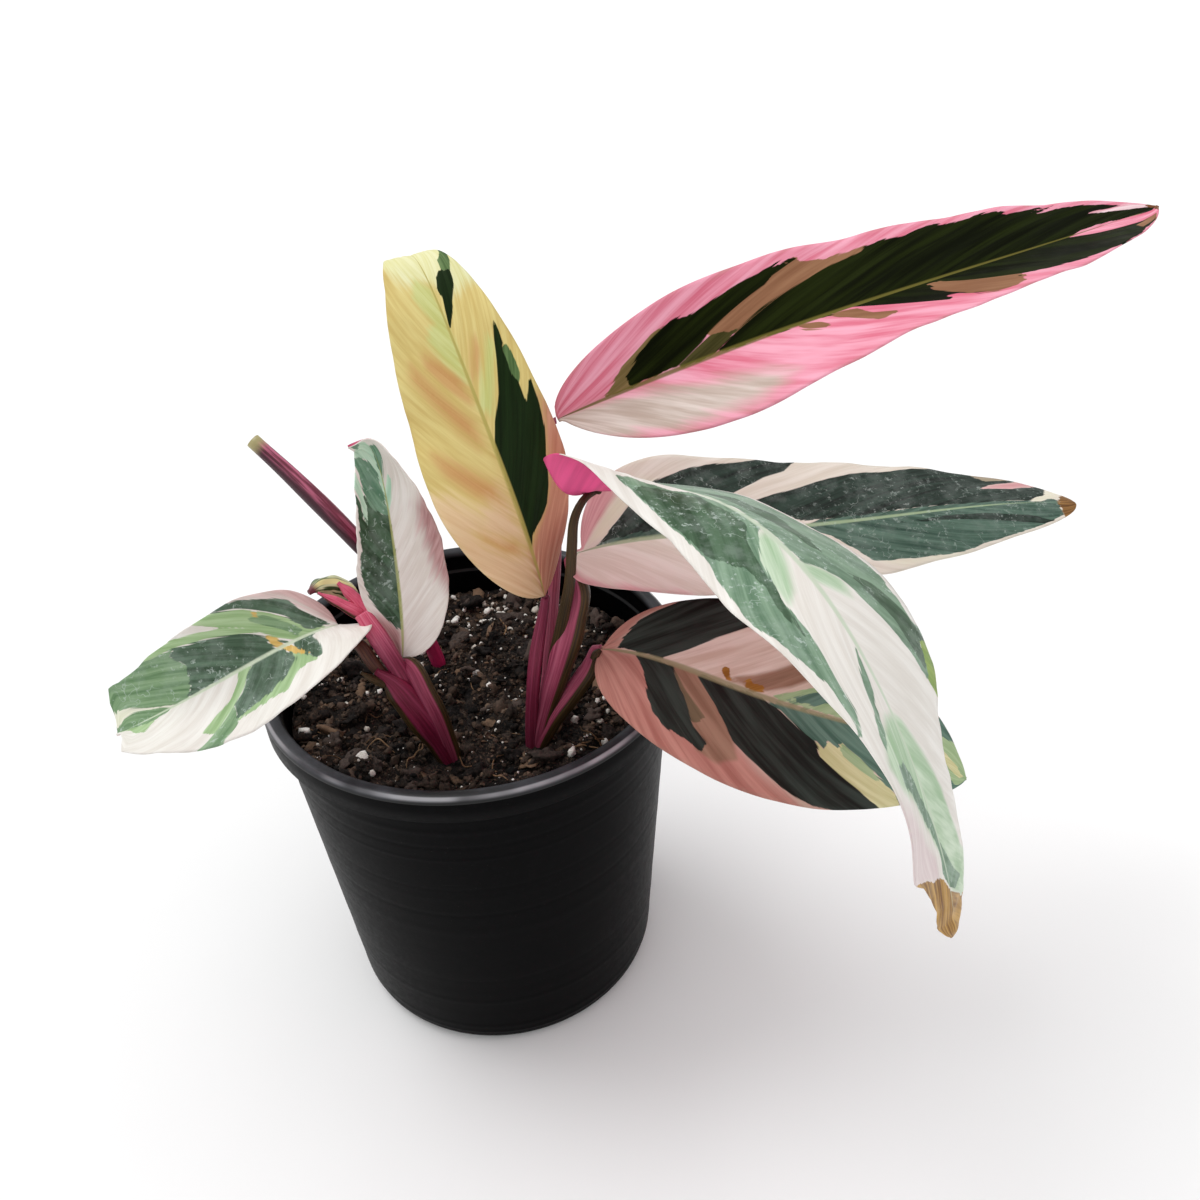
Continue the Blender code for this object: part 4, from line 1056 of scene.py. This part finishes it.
def make_rolled_leaf():
    """The new leaf still rolled up, with the roll's free edge winding up it."""
    def seam(share, turned):
        edge = np.angle(np.exp(1j * (turned - 0.6 - 4.0 * share)))
        return 1.0 + 0.16 * np.exp(-((edge / 0.22) ** 2)) * (1 - share) + 0.05 * np.sin(3 * turned + 5 * share)

    graph = Graph("rolled_leaf_skin")
    along, around, _ = graph.parts("place")
    grain = graph.noise(graph.vector(graph.times(around, 8.0), graph.times(along, 6.0)))
    # The roll's lower side is painted dark as shade, and its upper side is painted lit, lighter towards the tip as a
    # painted highlight.
    side = graph.span(graph.math("SUBTRACT", graph.times(grain, 0.3), around), -0.05, 0.2)
    lit = graph.between(graph.span(along, 0.5, 0.95), ((126, 22, 60), (196, 104, 134)))
    lit = graph.mix(graph.span(grain, 0.4, 0.6), lit, srgb(104, 16, 48))
    colour = graph.mix(side, lit, graph.between(grain, ((40, 10, 22), (78, 20, 42))))
    colour = graph.mix(graph.span(along, 0.955, 0.99), colour, srgb(170, 160, 112))
    foot = graph.between(grain, ((150, 20, 70), (214, 50, 110)))
    colour = graph.mix(graph.span(along, 0.45, 0.2), colour, foot)
    material = graph.finish(colour, 0.38, graph.bump(grain, 0.0004, 0.5))
    add_furled("rolled_leaf_scroll", "rolled_leaf", material, ROLLED_LEAF, ROLLED_RADIUS, stations=90, reach=seam)


def make_young_leaf():
    """The small leaf that curls out of its sheath, striped along its veins."""
    def folds(share, turned):
        return 1.0 + 0.1 * np.sin(5 * turned + 7 * share) * np.sin(math.pi * share)

    graph = Graph("young_leaf_skin")
    along, around, _ = graph.parts("place")
    stripe = graph.noise(graph.vector(graph.times(along, 2.0), graph.times(around, 9.0)), 1.0, 2.0)
    colour = graph.between(graph.span(stripe, 0.46, 0.52), ((52, 84, 40), (206, 210, 164)))
    rim = graph.span(graph.away(around, 0.42), 0.14, 0.08)
    colour = graph.mix(rim, colour, srgb(226, 214, 150))
    colour = graph.mix(graph.span(along, 0.84, 0.95), colour, srgb(104, 34, 46))
    material = graph.finish(colour, 0.4, graph.bump(stripe, 0.0004, 0.5))
    add_furled("young_leaf_curl", "young_leaf", material, YOUNG_LEAF, YOUNG_RADIUS, stations=60, reach=folds)


# Soil

LUMP_HEIGHT = 5.0
LUMP_SIZE = 10.0
CRUMB_HEIGHT = 2.0
CRUMB_SIZE = 4.0
GRAINS = ((1.7, 3.1, 0.9), (0.8, 5.1, 0.5))  # their size, their own shift, and how high they stand
LUMP_FADE = 5.0  # how far in from the edge the lumps fade out
FIRM_SOIL = 8.0  # how far round a foot the soil is pressed down
FIRM_LEAST = 0.15
BED_RINGS = 120
BED_SIDES = 300
BED_CROWDING = 0.75  # below 1, the rings lie closer towards the edge
BED_FOOT = ((53.6, 54.0), (50.9, 6.0), (46.0, 2.2))  # radius and height of the rings below the top
FOOT_CLEARANCE = 0.6
SMALL_SHARE = 2.2  # above 1, more lumps are small than large
KNOBS = ((1.3, 1.0), (3.1, 0.5))  # how fine they are, and their share of a lump's roughness
KNOB_SHIFT = 90
LUMP_AXES = ((0.8, 1.3), (0.75, 1.1), (0.8, 1.1))  # the least and the most of each, in the lump's own size
LUMP_TILT = (0.45, 0.35)
ROOTLET_COUNT = 26
ROOTLET_LINKS = 6
ROOTLET_LINK = 2.2
ROOTLET_LIFT = 0.9
ROOTLET_SIDES = 6
ROOTLET_START = 8  # the least distance from the soil's edge to its first point, and to its others
ROOTLET_STOP = 3


def soil_height(x, y):
    """The lumps of the model's soil, with finer grains on them."""
    radius = math.hypot(x, y)
    coarse = noise.noise(Vector((x / LUMP_SIZE, y / LUMP_SIZE, 0.3)))
    middling = noise.noise(Vector((x / CRUMB_SIZE, y / CRUMB_SIZE, 7.7)))
    fade = min(1.0, max(0.0, (SOIL_EDGE - radius) / LUMP_FADE))
    for foot_x, foot_y, foot_radius in FEET:
        near = math.hypot(x - foot_x, y - foot_y) - foot_radius
        fade *= min(1.0, max(FIRM_LEAST, near / FIRM_SOIL))
    grains = sum(noise.noise(Vector((x / size, y / size, shift))) * height for size, shift, height in GRAINS)
    return SOIL_TOP + fade * (LUMP_HEIGHT * coarse + CRUMB_HEIGHT * middling) + grains


def dampness(graph, point, darkest):
    """The shade of the soil's wet and dry patches."""
    return graph.span(graph.noise(point, 0.11, 3.0, 0.6), 0.36, 0.62, darkest, 1.25)


def soil_material():
    graph = Graph("potting_mix")
    point = graph.place()
    clod = graph.noise(point, 0.25, 4.0)
    grain = graph.noise(point, 1.6, 4.0, 0.7)
    colour = graph.between(graph.span(clod, 0.35, 0.65), ((13, 10, 9), (52, 42, 36)))
    colour = graph.mix(graph.span(grain, 0.5, 0.68, 0.0, 0.7), colour, srgb(98, 78, 64))
    colour = graph.mix(graph.span(graph.noise(point, 2.4, 2.0), 0.69, 0.74, 0.0, 0.7), colour, srgb(160, 140, 118))
    colour = graph.shaded(colour, dampness(graph, point, 0.25))
    bump = graph.bump(graph.cells(point, 1.1), 0.0008, 0.6, graph.bump(grain, 0.0012, 0.9))
    damp = graph.span(clod, 0.3, 0.7, 0.95, 0.7, "LINEAR")
    return graph.finish(colour, damp, bump, shine=0.3)


def make_soil_bed():
    radii = SOIL_EDGE * (np.arange(BED_RINGS + 1) / BED_RINGS) ** BED_CROWDING
    turns = math.tau * np.arange(BED_SIDES) / BED_SIDES
    points = [(0.0, 0.0, soil_height(0, 0))]
    for radius in radii[1:]:
        points += [(x, y, soil_height(x, y)) for x, y in (on_circle(radius, turn) for turn in turns)]
    for radius, z in BED_FOOT:
        points += [(*on_circle(radius, turn), z) for turn in turns]
    rings = BED_RINGS + len(BED_FOOT)
    faces = [(0, 1 + j, 1 + (j + 1) % BED_SIDES) for j in range(BED_SIDES)]
    faces += [(a, d, c, b) for a, b, c, d in grid_faces(rings, BED_SIDES, 1, closed=True)]
    faces.append(tuple(range(len(points) - BED_SIDES, len(points)))[::-1])
    add_piece("soil_bed", points, faces, [soil_material()], ["soil"])


def lump_shape(level):
    shape = bmesh.new()
    bmesh.ops.create_icosphere(shape, subdivisions=level, radius=1.0)
    points = np.array([v.co[:] for v in shape.verts])
    faces = [tuple(v.index for v in f.verts) for f in shape.faces]
    shape.free()
    return points, faces


def soil_spot(draws, margin):
    """A place on the soil at random."""
    radius = (SOIL_EDGE - margin) * math.sqrt(draws.random())
    return on_circle(radius, draws.uniform(0, math.tau))


def scatter(name, material, count, seed, sizes, flat, rough, sink, stretch=1.0, level=2, margin=1.5, patches=(),
            sharp=False):
    """Many small lumps lying on the soil, as one piece. Each patch holds a place, a spread and its own count."""
    draws = random.Random(seed)
    shape, shape_faces = lump_shape(level)
    spots = []
    for x, y, spread, more in patches:
        spots += [(draws.gauss(x, spread), draws.gauss(y, spread)) for _ in range(more)]
    while len(spots) < count:
        spots.append(soil_spot(draws, margin))
    points, faces = [], []
    for x, y in spots:
        if any(math.hypot(x - fx, y - fy) < fr + FOOT_CLEARANCE for fx, fy, fr in FEET):
            continue
        size = sizes[0] + (sizes[1] - sizes[0]) * draws.random() ** SMALL_SHARE
        if math.hypot(x, y) + size > SOIL_EDGE:
            continue
        shift = Vector((draws.random() * KNOB_SHIFT, draws.random() * KNOB_SHIFT, 0))
        knobs = np.array([sum((share * rough * noise.noise(Vector(p) * fine + shift) for fine, share in KNOBS), 1)
                          for p in shape])
        axes = np.array([size * part * draws.uniform(*reach) for part, reach in zip((stretch, 1, flat), LUMP_AXES)])
        spin = Matrix.Rotation(draws.uniform(0, math.tau), 3, "Z")
        for axis, tilt in zip("XY", LUMP_TILT):
            spin = spin @ Matrix.Rotation(draws.gauss(0, tilt), 3, axis)
        local = (shape * knobs[:, None] * axes) @ np.array(spin).T
        lift = soil_height(x, y) + size * flat * (1 - 2 * sink)
        first = len(points)
        points += (local + (x, y, lift)).tolist()
        faces += [tuple(first + k for k in face) for face in shape_faces]
    piece = add_piece(name, points, faces, [material])
    if sharp:
        piece.data.shade_flat()


def lump_material(name, dark, light, scale, roughness, bump_mm=0.3, damp=0.0):
    """Grainy lumps, each with its own tone between the dark and the light colour, darker by damp in wet patches."""
    graph = Graph(name)
    point = graph.place()
    tone = graph.noise(point, scale, 4.0, 0.65)
    lump = graph.node("NewGeometry").outputs["Random Per Island"]
    tone = graph.math("MULTIPLY_ADD", tone, 0.8, graph.times(lump, 0.45))
    colour = graph.between(graph.span(tone, 0.4, 0.85), (dark, light))
    if damp:
        colour = graph.shaded(colour, dampness(graph, point, damp))
    return graph.finish(colour, roughness, graph.bump(tone, bump_mm * MM, 0.8), shine=0.25)


def make_soil():
    make_soil_bed()
    grit = lump_material("grit", (11, 9, 8), (104, 86, 72), 1.6, 0.92, damp=0.25)
    scatter("soil_grit", grit, 5200, 11, (0.2, 1.1), flat=0.8, rough=1.1, sink=0.2, level=1, sharp=True)
    crumb = lump_material("crumbs", (13, 10, 9), (84, 68, 58), 1.3, 0.9, 0.6, 0.3)
    scatter("soil_crumbs", crumb, 620, 12, (0.7, 2.2), flat=0.8, rough=1.0, sink=0.25)
    clod = lump_material("clods", (18, 13, 11), (80, 68, 62), 0.9, 0.85, 0.8)
    scatter("soil_clods", clod, 90, 23, (1.6, 4.4), flat=0.6, rough=1.0, sink=0.35, level=3, margin=4.0)
    white = lump_material("perlite", (200, 194, 182), (250, 248, 242), 2.0, 0.85)
    scatter("perlite_grains", white, 260, 31, (0.3, 1.3), flat=0.9, rough=0.6, sink=0.15,
            patches=((8, 41, 7.0, 50), (20, 36, 3.0, 12), (-11, 8, 1.5, 3), (-1.5, 7.5, 1.5, 3)))
    scatter("perlite_dust", white, 420, 33, (0.12, 0.45), flat=0.9, rough=0.6, sink=0.1, level=1)
    scatter("perlite_lumps", white, 9, 37, (1.5, 2.4), flat=0.7, rough=0.5, sink=0.25, margin=4.0,
            patches=((-54, -8, 0.3, 1), (-11.4, 8.7, 0.2, 1), (11.8, 40.8, 2.0, 1)))
    bark = lump_material("bark", (44, 34, 27), (118, 94, 74), 0.8, 0.8)
    scatter("bark_chips", bark, 150, 47, (0.5, 2.0), flat=0.35, stretch=1.9, rough=0.7, sink=0.25,
            patches=((12.7, -36, 2.5, 6),))
    scatter("bark_pieces", bark, 7, 59, (2.4, 3.8), flat=0.4, stretch=1.6, rough=0.8, sink=0.3, level=3,
            margin=6.0, patches=((13.5, -37, 0.3, 1),))
    make_rootlets()


def make_rootlets():
    draws = random.Random(5)
    points, faces = [], []
    for _ in range(ROOTLET_COUNT):
        x, y = soil_spot(draws, ROOTLET_START)
        heading = draws.uniform(0, math.tau)
        path = []
        for _ in range(ROOTLET_LINKS):
            path.append((x, y, soil_height(x, y) + ROOTLET_LIFT))
            x += ROOTLET_LINK * math.cos(heading)
            y += ROOTLET_LINK * math.sin(heading)
            heading += draws.gauss(0, 0.5)
            if math.hypot(x, y) > SOIL_EDGE - ROOTLET_STOP:
                break
        if len(path) < 3:
            continue
        thick = draws.uniform(0.12, 0.28)
        rings, _ = tube_rings(path, (thick, thick, thick * 0.4), opens=(0, 0, 1), stations=16, sides=ROOTLET_SIDES)
        faces += ring_faces(len(rings), ROOTLET_SIDES, len(points))
        points += rings.reshape(-1, 3).tolist()
    fibre = lump_material("fibres", (92, 68, 46), (150, 120, 90), 1.5, 0.8, 0.1)
    add_piece("rootlets", points, faces, [fibre])


# Pot

RIM_RADIUS = 65.0
NECK_RADIUS = 61.5
BASE_RADIUS = 52.5
WALL = 1.3
FLOOR = 1.8
LIP_HEIGHT = 9.0
LIP_SKIN = 1.3
LIP_ROUND = 2.0
HEEL_ROUND = 5.0
STEP_DEPTH = 8.0
STEP_WIDTH = 0.9
POT_SIDES = 192
DRAIN_COUNT = 8
DRAIN_RADIUS = 4.5
DRAIN_CIRCLE = 39.0
DRAIN_REACH = 12.0
RING_RELIEF = 0.07  # the faint rings that the mould leaves round the wall
RING_COUNT = 12
WALL_STATIONS = 200
CLEAR_RINGS = ((108.0, 0.8, 1.8), (101.5, 0.6, -1.2), (96.0, 0.5, 1.0), (9.0, 0.8, 1.5))  # height, width, relief
SHARP_ANGLE = 50.0
SHINY_TOP = (60.0, 2.3)  # the shiny top of the rim: from which radius, and how far down
SHINY_STEP = (60.3, 0.2, 1.0)  # the shiny step inside it: up to which radius, how far down, and how far up


def arc(centre_r, centre_z, radius, start, end, steps=8):
    """Points of a profile's round corner, angles in degrees from outwards to up."""
    angles = np.radians(np.linspace(start, end, steps + 1))
    return [(centre_r + radius * math.cos(a), centre_z + radius * math.sin(a)) for a in angles]


def wall_radius(z):
    return BASE_RADIUS + (NECK_RADIUS - BASE_RADIUS) * z / (POT_HEIGHT - LIP_HEIGHT)


def inner_radius(z):
    return wall_radius(z) - WALL - STEP_WIDTH * max(0.0, z - SOIL_TOP / 2) / (POT_HEIGHT - SOIL_TOP / 2)


def outer_wall():
    """The outer wall from heel to lip, with the mould's faint rings."""
    draws = random.Random(8)
    ridges = [(draws.uniform(12, 112), draws.uniform(0.5, 2.5), draws.uniform(-1, 1)) for _ in range(RING_COUNT)]
    ridges += CLEAR_RINGS
    points = []
    for z in np.linspace(HEEL_ROUND + 0.6, POT_HEIGHT - LIP_HEIGHT - 0.6, WALL_STATIONS):
        relief = sum(size * math.exp(-(((z - at) / wide) ** 2)) for at, wide, size in ridges)
        points.append((wall_radius(z) - 0.1 + RING_RELIEF * math.tanh(relief), z))
    return points


def pot_profile():
    lip_foot = POT_HEIGHT - LIP_HEIGHT
    step = POT_HEIGHT - STEP_DEPTH
    mouth = NECK_RADIUS - WALL
    top = POT_HEIGHT - LIP_ROUND
    outer = [(4.0, 0.6), (30.0, 0.6), (33.0, 0.0)]
    outer += arc(BASE_RADIUS - HEEL_ROUND, HEEL_ROUND, HEEL_ROUND, -90, 0)
    outer += outer_wall()
    outer += [(NECK_RADIUS - 0.1, lip_foot), (NECK_RADIUS, top - 1.0), (RIM_RADIUS - LIP_SKIN, top - 1.0)]
    outer += [(RIM_RADIUS - LIP_SKIN + 0.1, lip_foot + 0.4), (RIM_RADIUS - LIP_SKIN + 0.4, lip_foot + 0.05)]
    outer += [(RIM_RADIUS - 0.5, lip_foot), (RIM_RADIUS - 0.2, lip_foot + 0.3), (RIM_RADIUS - 0.1, top - 2.5)]
    outer += arc(RIM_RADIUS - LIP_ROUND, top, LIP_ROUND, 0, 90)
    outer += arc(mouth + LIP_ROUND, top, LIP_ROUND, 90, 180)
    outer += [(mouth, step + 0.9), (mouth - 0.2, step + 0.5), (inner_radius(step), step)]
    outer += [(inner_radius(z), z) for z in (step - 0.4, 90.0, SOIL_TOP / 2, 25.0, HEEL_ROUND)]
    outer += [(inner_radius(HEEL_ROUND) - HEEL_ROUND + FLOOR, FLOOR)]
    return outer


def pot_material(name, shine):
    """Black moulded plastic: a few scuffs and dust round the wall, a painted grey sheen on the top of the rim with
    darker dusty blotches, and a thin painted highlight round the rim's outer shoulder.
    """
    graph = Graph(name)
    point = graph.place()
    x, y, height = graph.split(point)
    scuff = graph.noise(graph.place((50.0, 50.0, 1500.0)), 1.0, 4.0, 0.7)
    scuff = graph.times(graph.span(scuff, 0.62, 0.74), graph.span(graph.noise(point, 0.045, 2.0), 0.5, 0.62))
    dust = graph.noise(point, 0.5, 4.0, 0.7)
    speck = graph.span(graph.noise(point, 1.6, 2.0), 0.71, 0.76)
    colour = graph.mix(graph.span(dust, 0.45, 0.75), (0.001, 0.001, 0.0012, 1), (0.0028, 0.0028, 0.0032, 1))
    colour = graph.mix(graph.times(scuff, 0.12), colour, (0.05, 0.05, 0.05, 1))
    colour = graph.mix(graph.times(speck, 0.2), colour, (0.08, 0.07, 0.06, 1))
    # The top of the rim is painted grey as a painted sheen, with darker blotches where the dust noise is high.
    rim = graph.span(height, POT_HEIGHT - 2.2, POT_HEIGHT - 0.4)
    painted_rim_sheen = graph.between(graph.span(graph.noise(point, 0.06, 2.0), 0.35, 0.65), ((18, 19, 22), (54, 56, 62)))
    colour = graph.mix(rim, colour, graph.mix(graph.span(dust, 0.3, 0.7, 0.0, 0.4), painted_rim_sheen, srgb(24, 24, 25)))
    # A thin light ring round the outer shoulder of the rim: a painted highlight.
    radius = graph.math("SQRT", graph.math("ADD", graph.times(x, x), graph.times(y, y)))
    painted_rim_highlight = graph.times(graph.span(graph.away(radius, RIM_RADIUS - 0.75), 0.7, 0.2), rim)
    painted_rim_highlight = graph.times(painted_rim_highlight, graph.span(graph.noise(point, 0.05, 2.0), 0.35, 0.6, 0.1, 0.75))
    colour = graph.mix(painted_rim_highlight, colour, srgb(176, 176, 180))
    roughness = graph.span(dust, 0.3, 0.7, 0.34, 0.46, "LINEAR")
    return graph.finish(colour, roughness, graph.bump(dust, 0.0001, 0.25), shine)


def cut_drains(piece):
    drills = bmesh.new()
    for k in range(DRAIN_COUNT):
        x, y = on_circle(DRAIN_CIRCLE * MM, math.tau * (k + 0.5) / DRAIN_COUNT)
        bmesh.ops.create_cone(drills, cap_ends=True, segments=32, radius1=DRAIN_RADIUS * MM,
                              radius2=DRAIN_RADIUS * MM, depth=DRAIN_REACH * MM,
                              matrix=Matrix.Translation((x, y, 0)))
    mesh = bpy.data.meshes.new("drills")
    drills.to_mesh(mesh)
    drills.free()
    cutter = bpy.data.objects.new("drills", mesh)
    bpy.context.scene.collection.objects.link(cutter)
    hole = piece.modifiers.new("drains", "BOOLEAN")
    hole.operation = "DIFFERENCE"
    hole.object = cutter
    hole.solver = "EXACT"
    graph = bpy.context.evaluated_depsgraph_get()
    cut = bpy.data.meshes.new_from_object(piece.evaluated_get(graph), depsgraph=graph)
    piece.modifiers.clear()
    piece.data = cut
    bpy.data.objects.remove(cutter, do_unlink=True)


def is_shiny(radius, z):
    """Whether a part of the pot's profile is the top of the rim or the step inside it."""
    step = POT_HEIGHT - STEP_DEPTH
    least, depth = SHINY_TOP
    most, below, above = SHINY_STEP
    return radius > least and z > POT_HEIGHT - depth or radius < most and step - below < z < step + above


def make_pot():
    profile = np.array(pot_profile())
    turns = math.tau * np.arange(POT_SIDES) / POT_SIDES
    points = [(*on_circle(radius, turn), z) for radius, z in profile for turn in turns]
    faces = ring_faces(len(profile), POT_SIDES)
    shiny = [is_shiny(*place) for place in (profile[1:] + profile[:-1]) / 2]
    kinds = np.repeat(np.array(shiny, np.int32), POT_SIDES)
    materials = [pot_material("pot_wall", 0.03), pot_material("pot_rim", 0.3)]
    piece = add_piece("pot_shell", points, faces, materials, ["pot"], np.r_[kinds, 0, 0].astype(np.int32))
    cut_drains(piece)
    piece.data.set_sharp_from_angle(angle=math.radians(SHARP_ANGLE))


def main():
    add_camera()
    add_studio()
    make_pot()
    make_soil()
    make_stems("stems_left")
    make_stems("stems_right")
    make_rolled_leaf()
    make_young_leaf()
    for place, name in enumerate(LEAVES):
        make_blade(name, place * SEED_STEP + FIRST_SEED)


main()
bpy.context.view_layer.update()
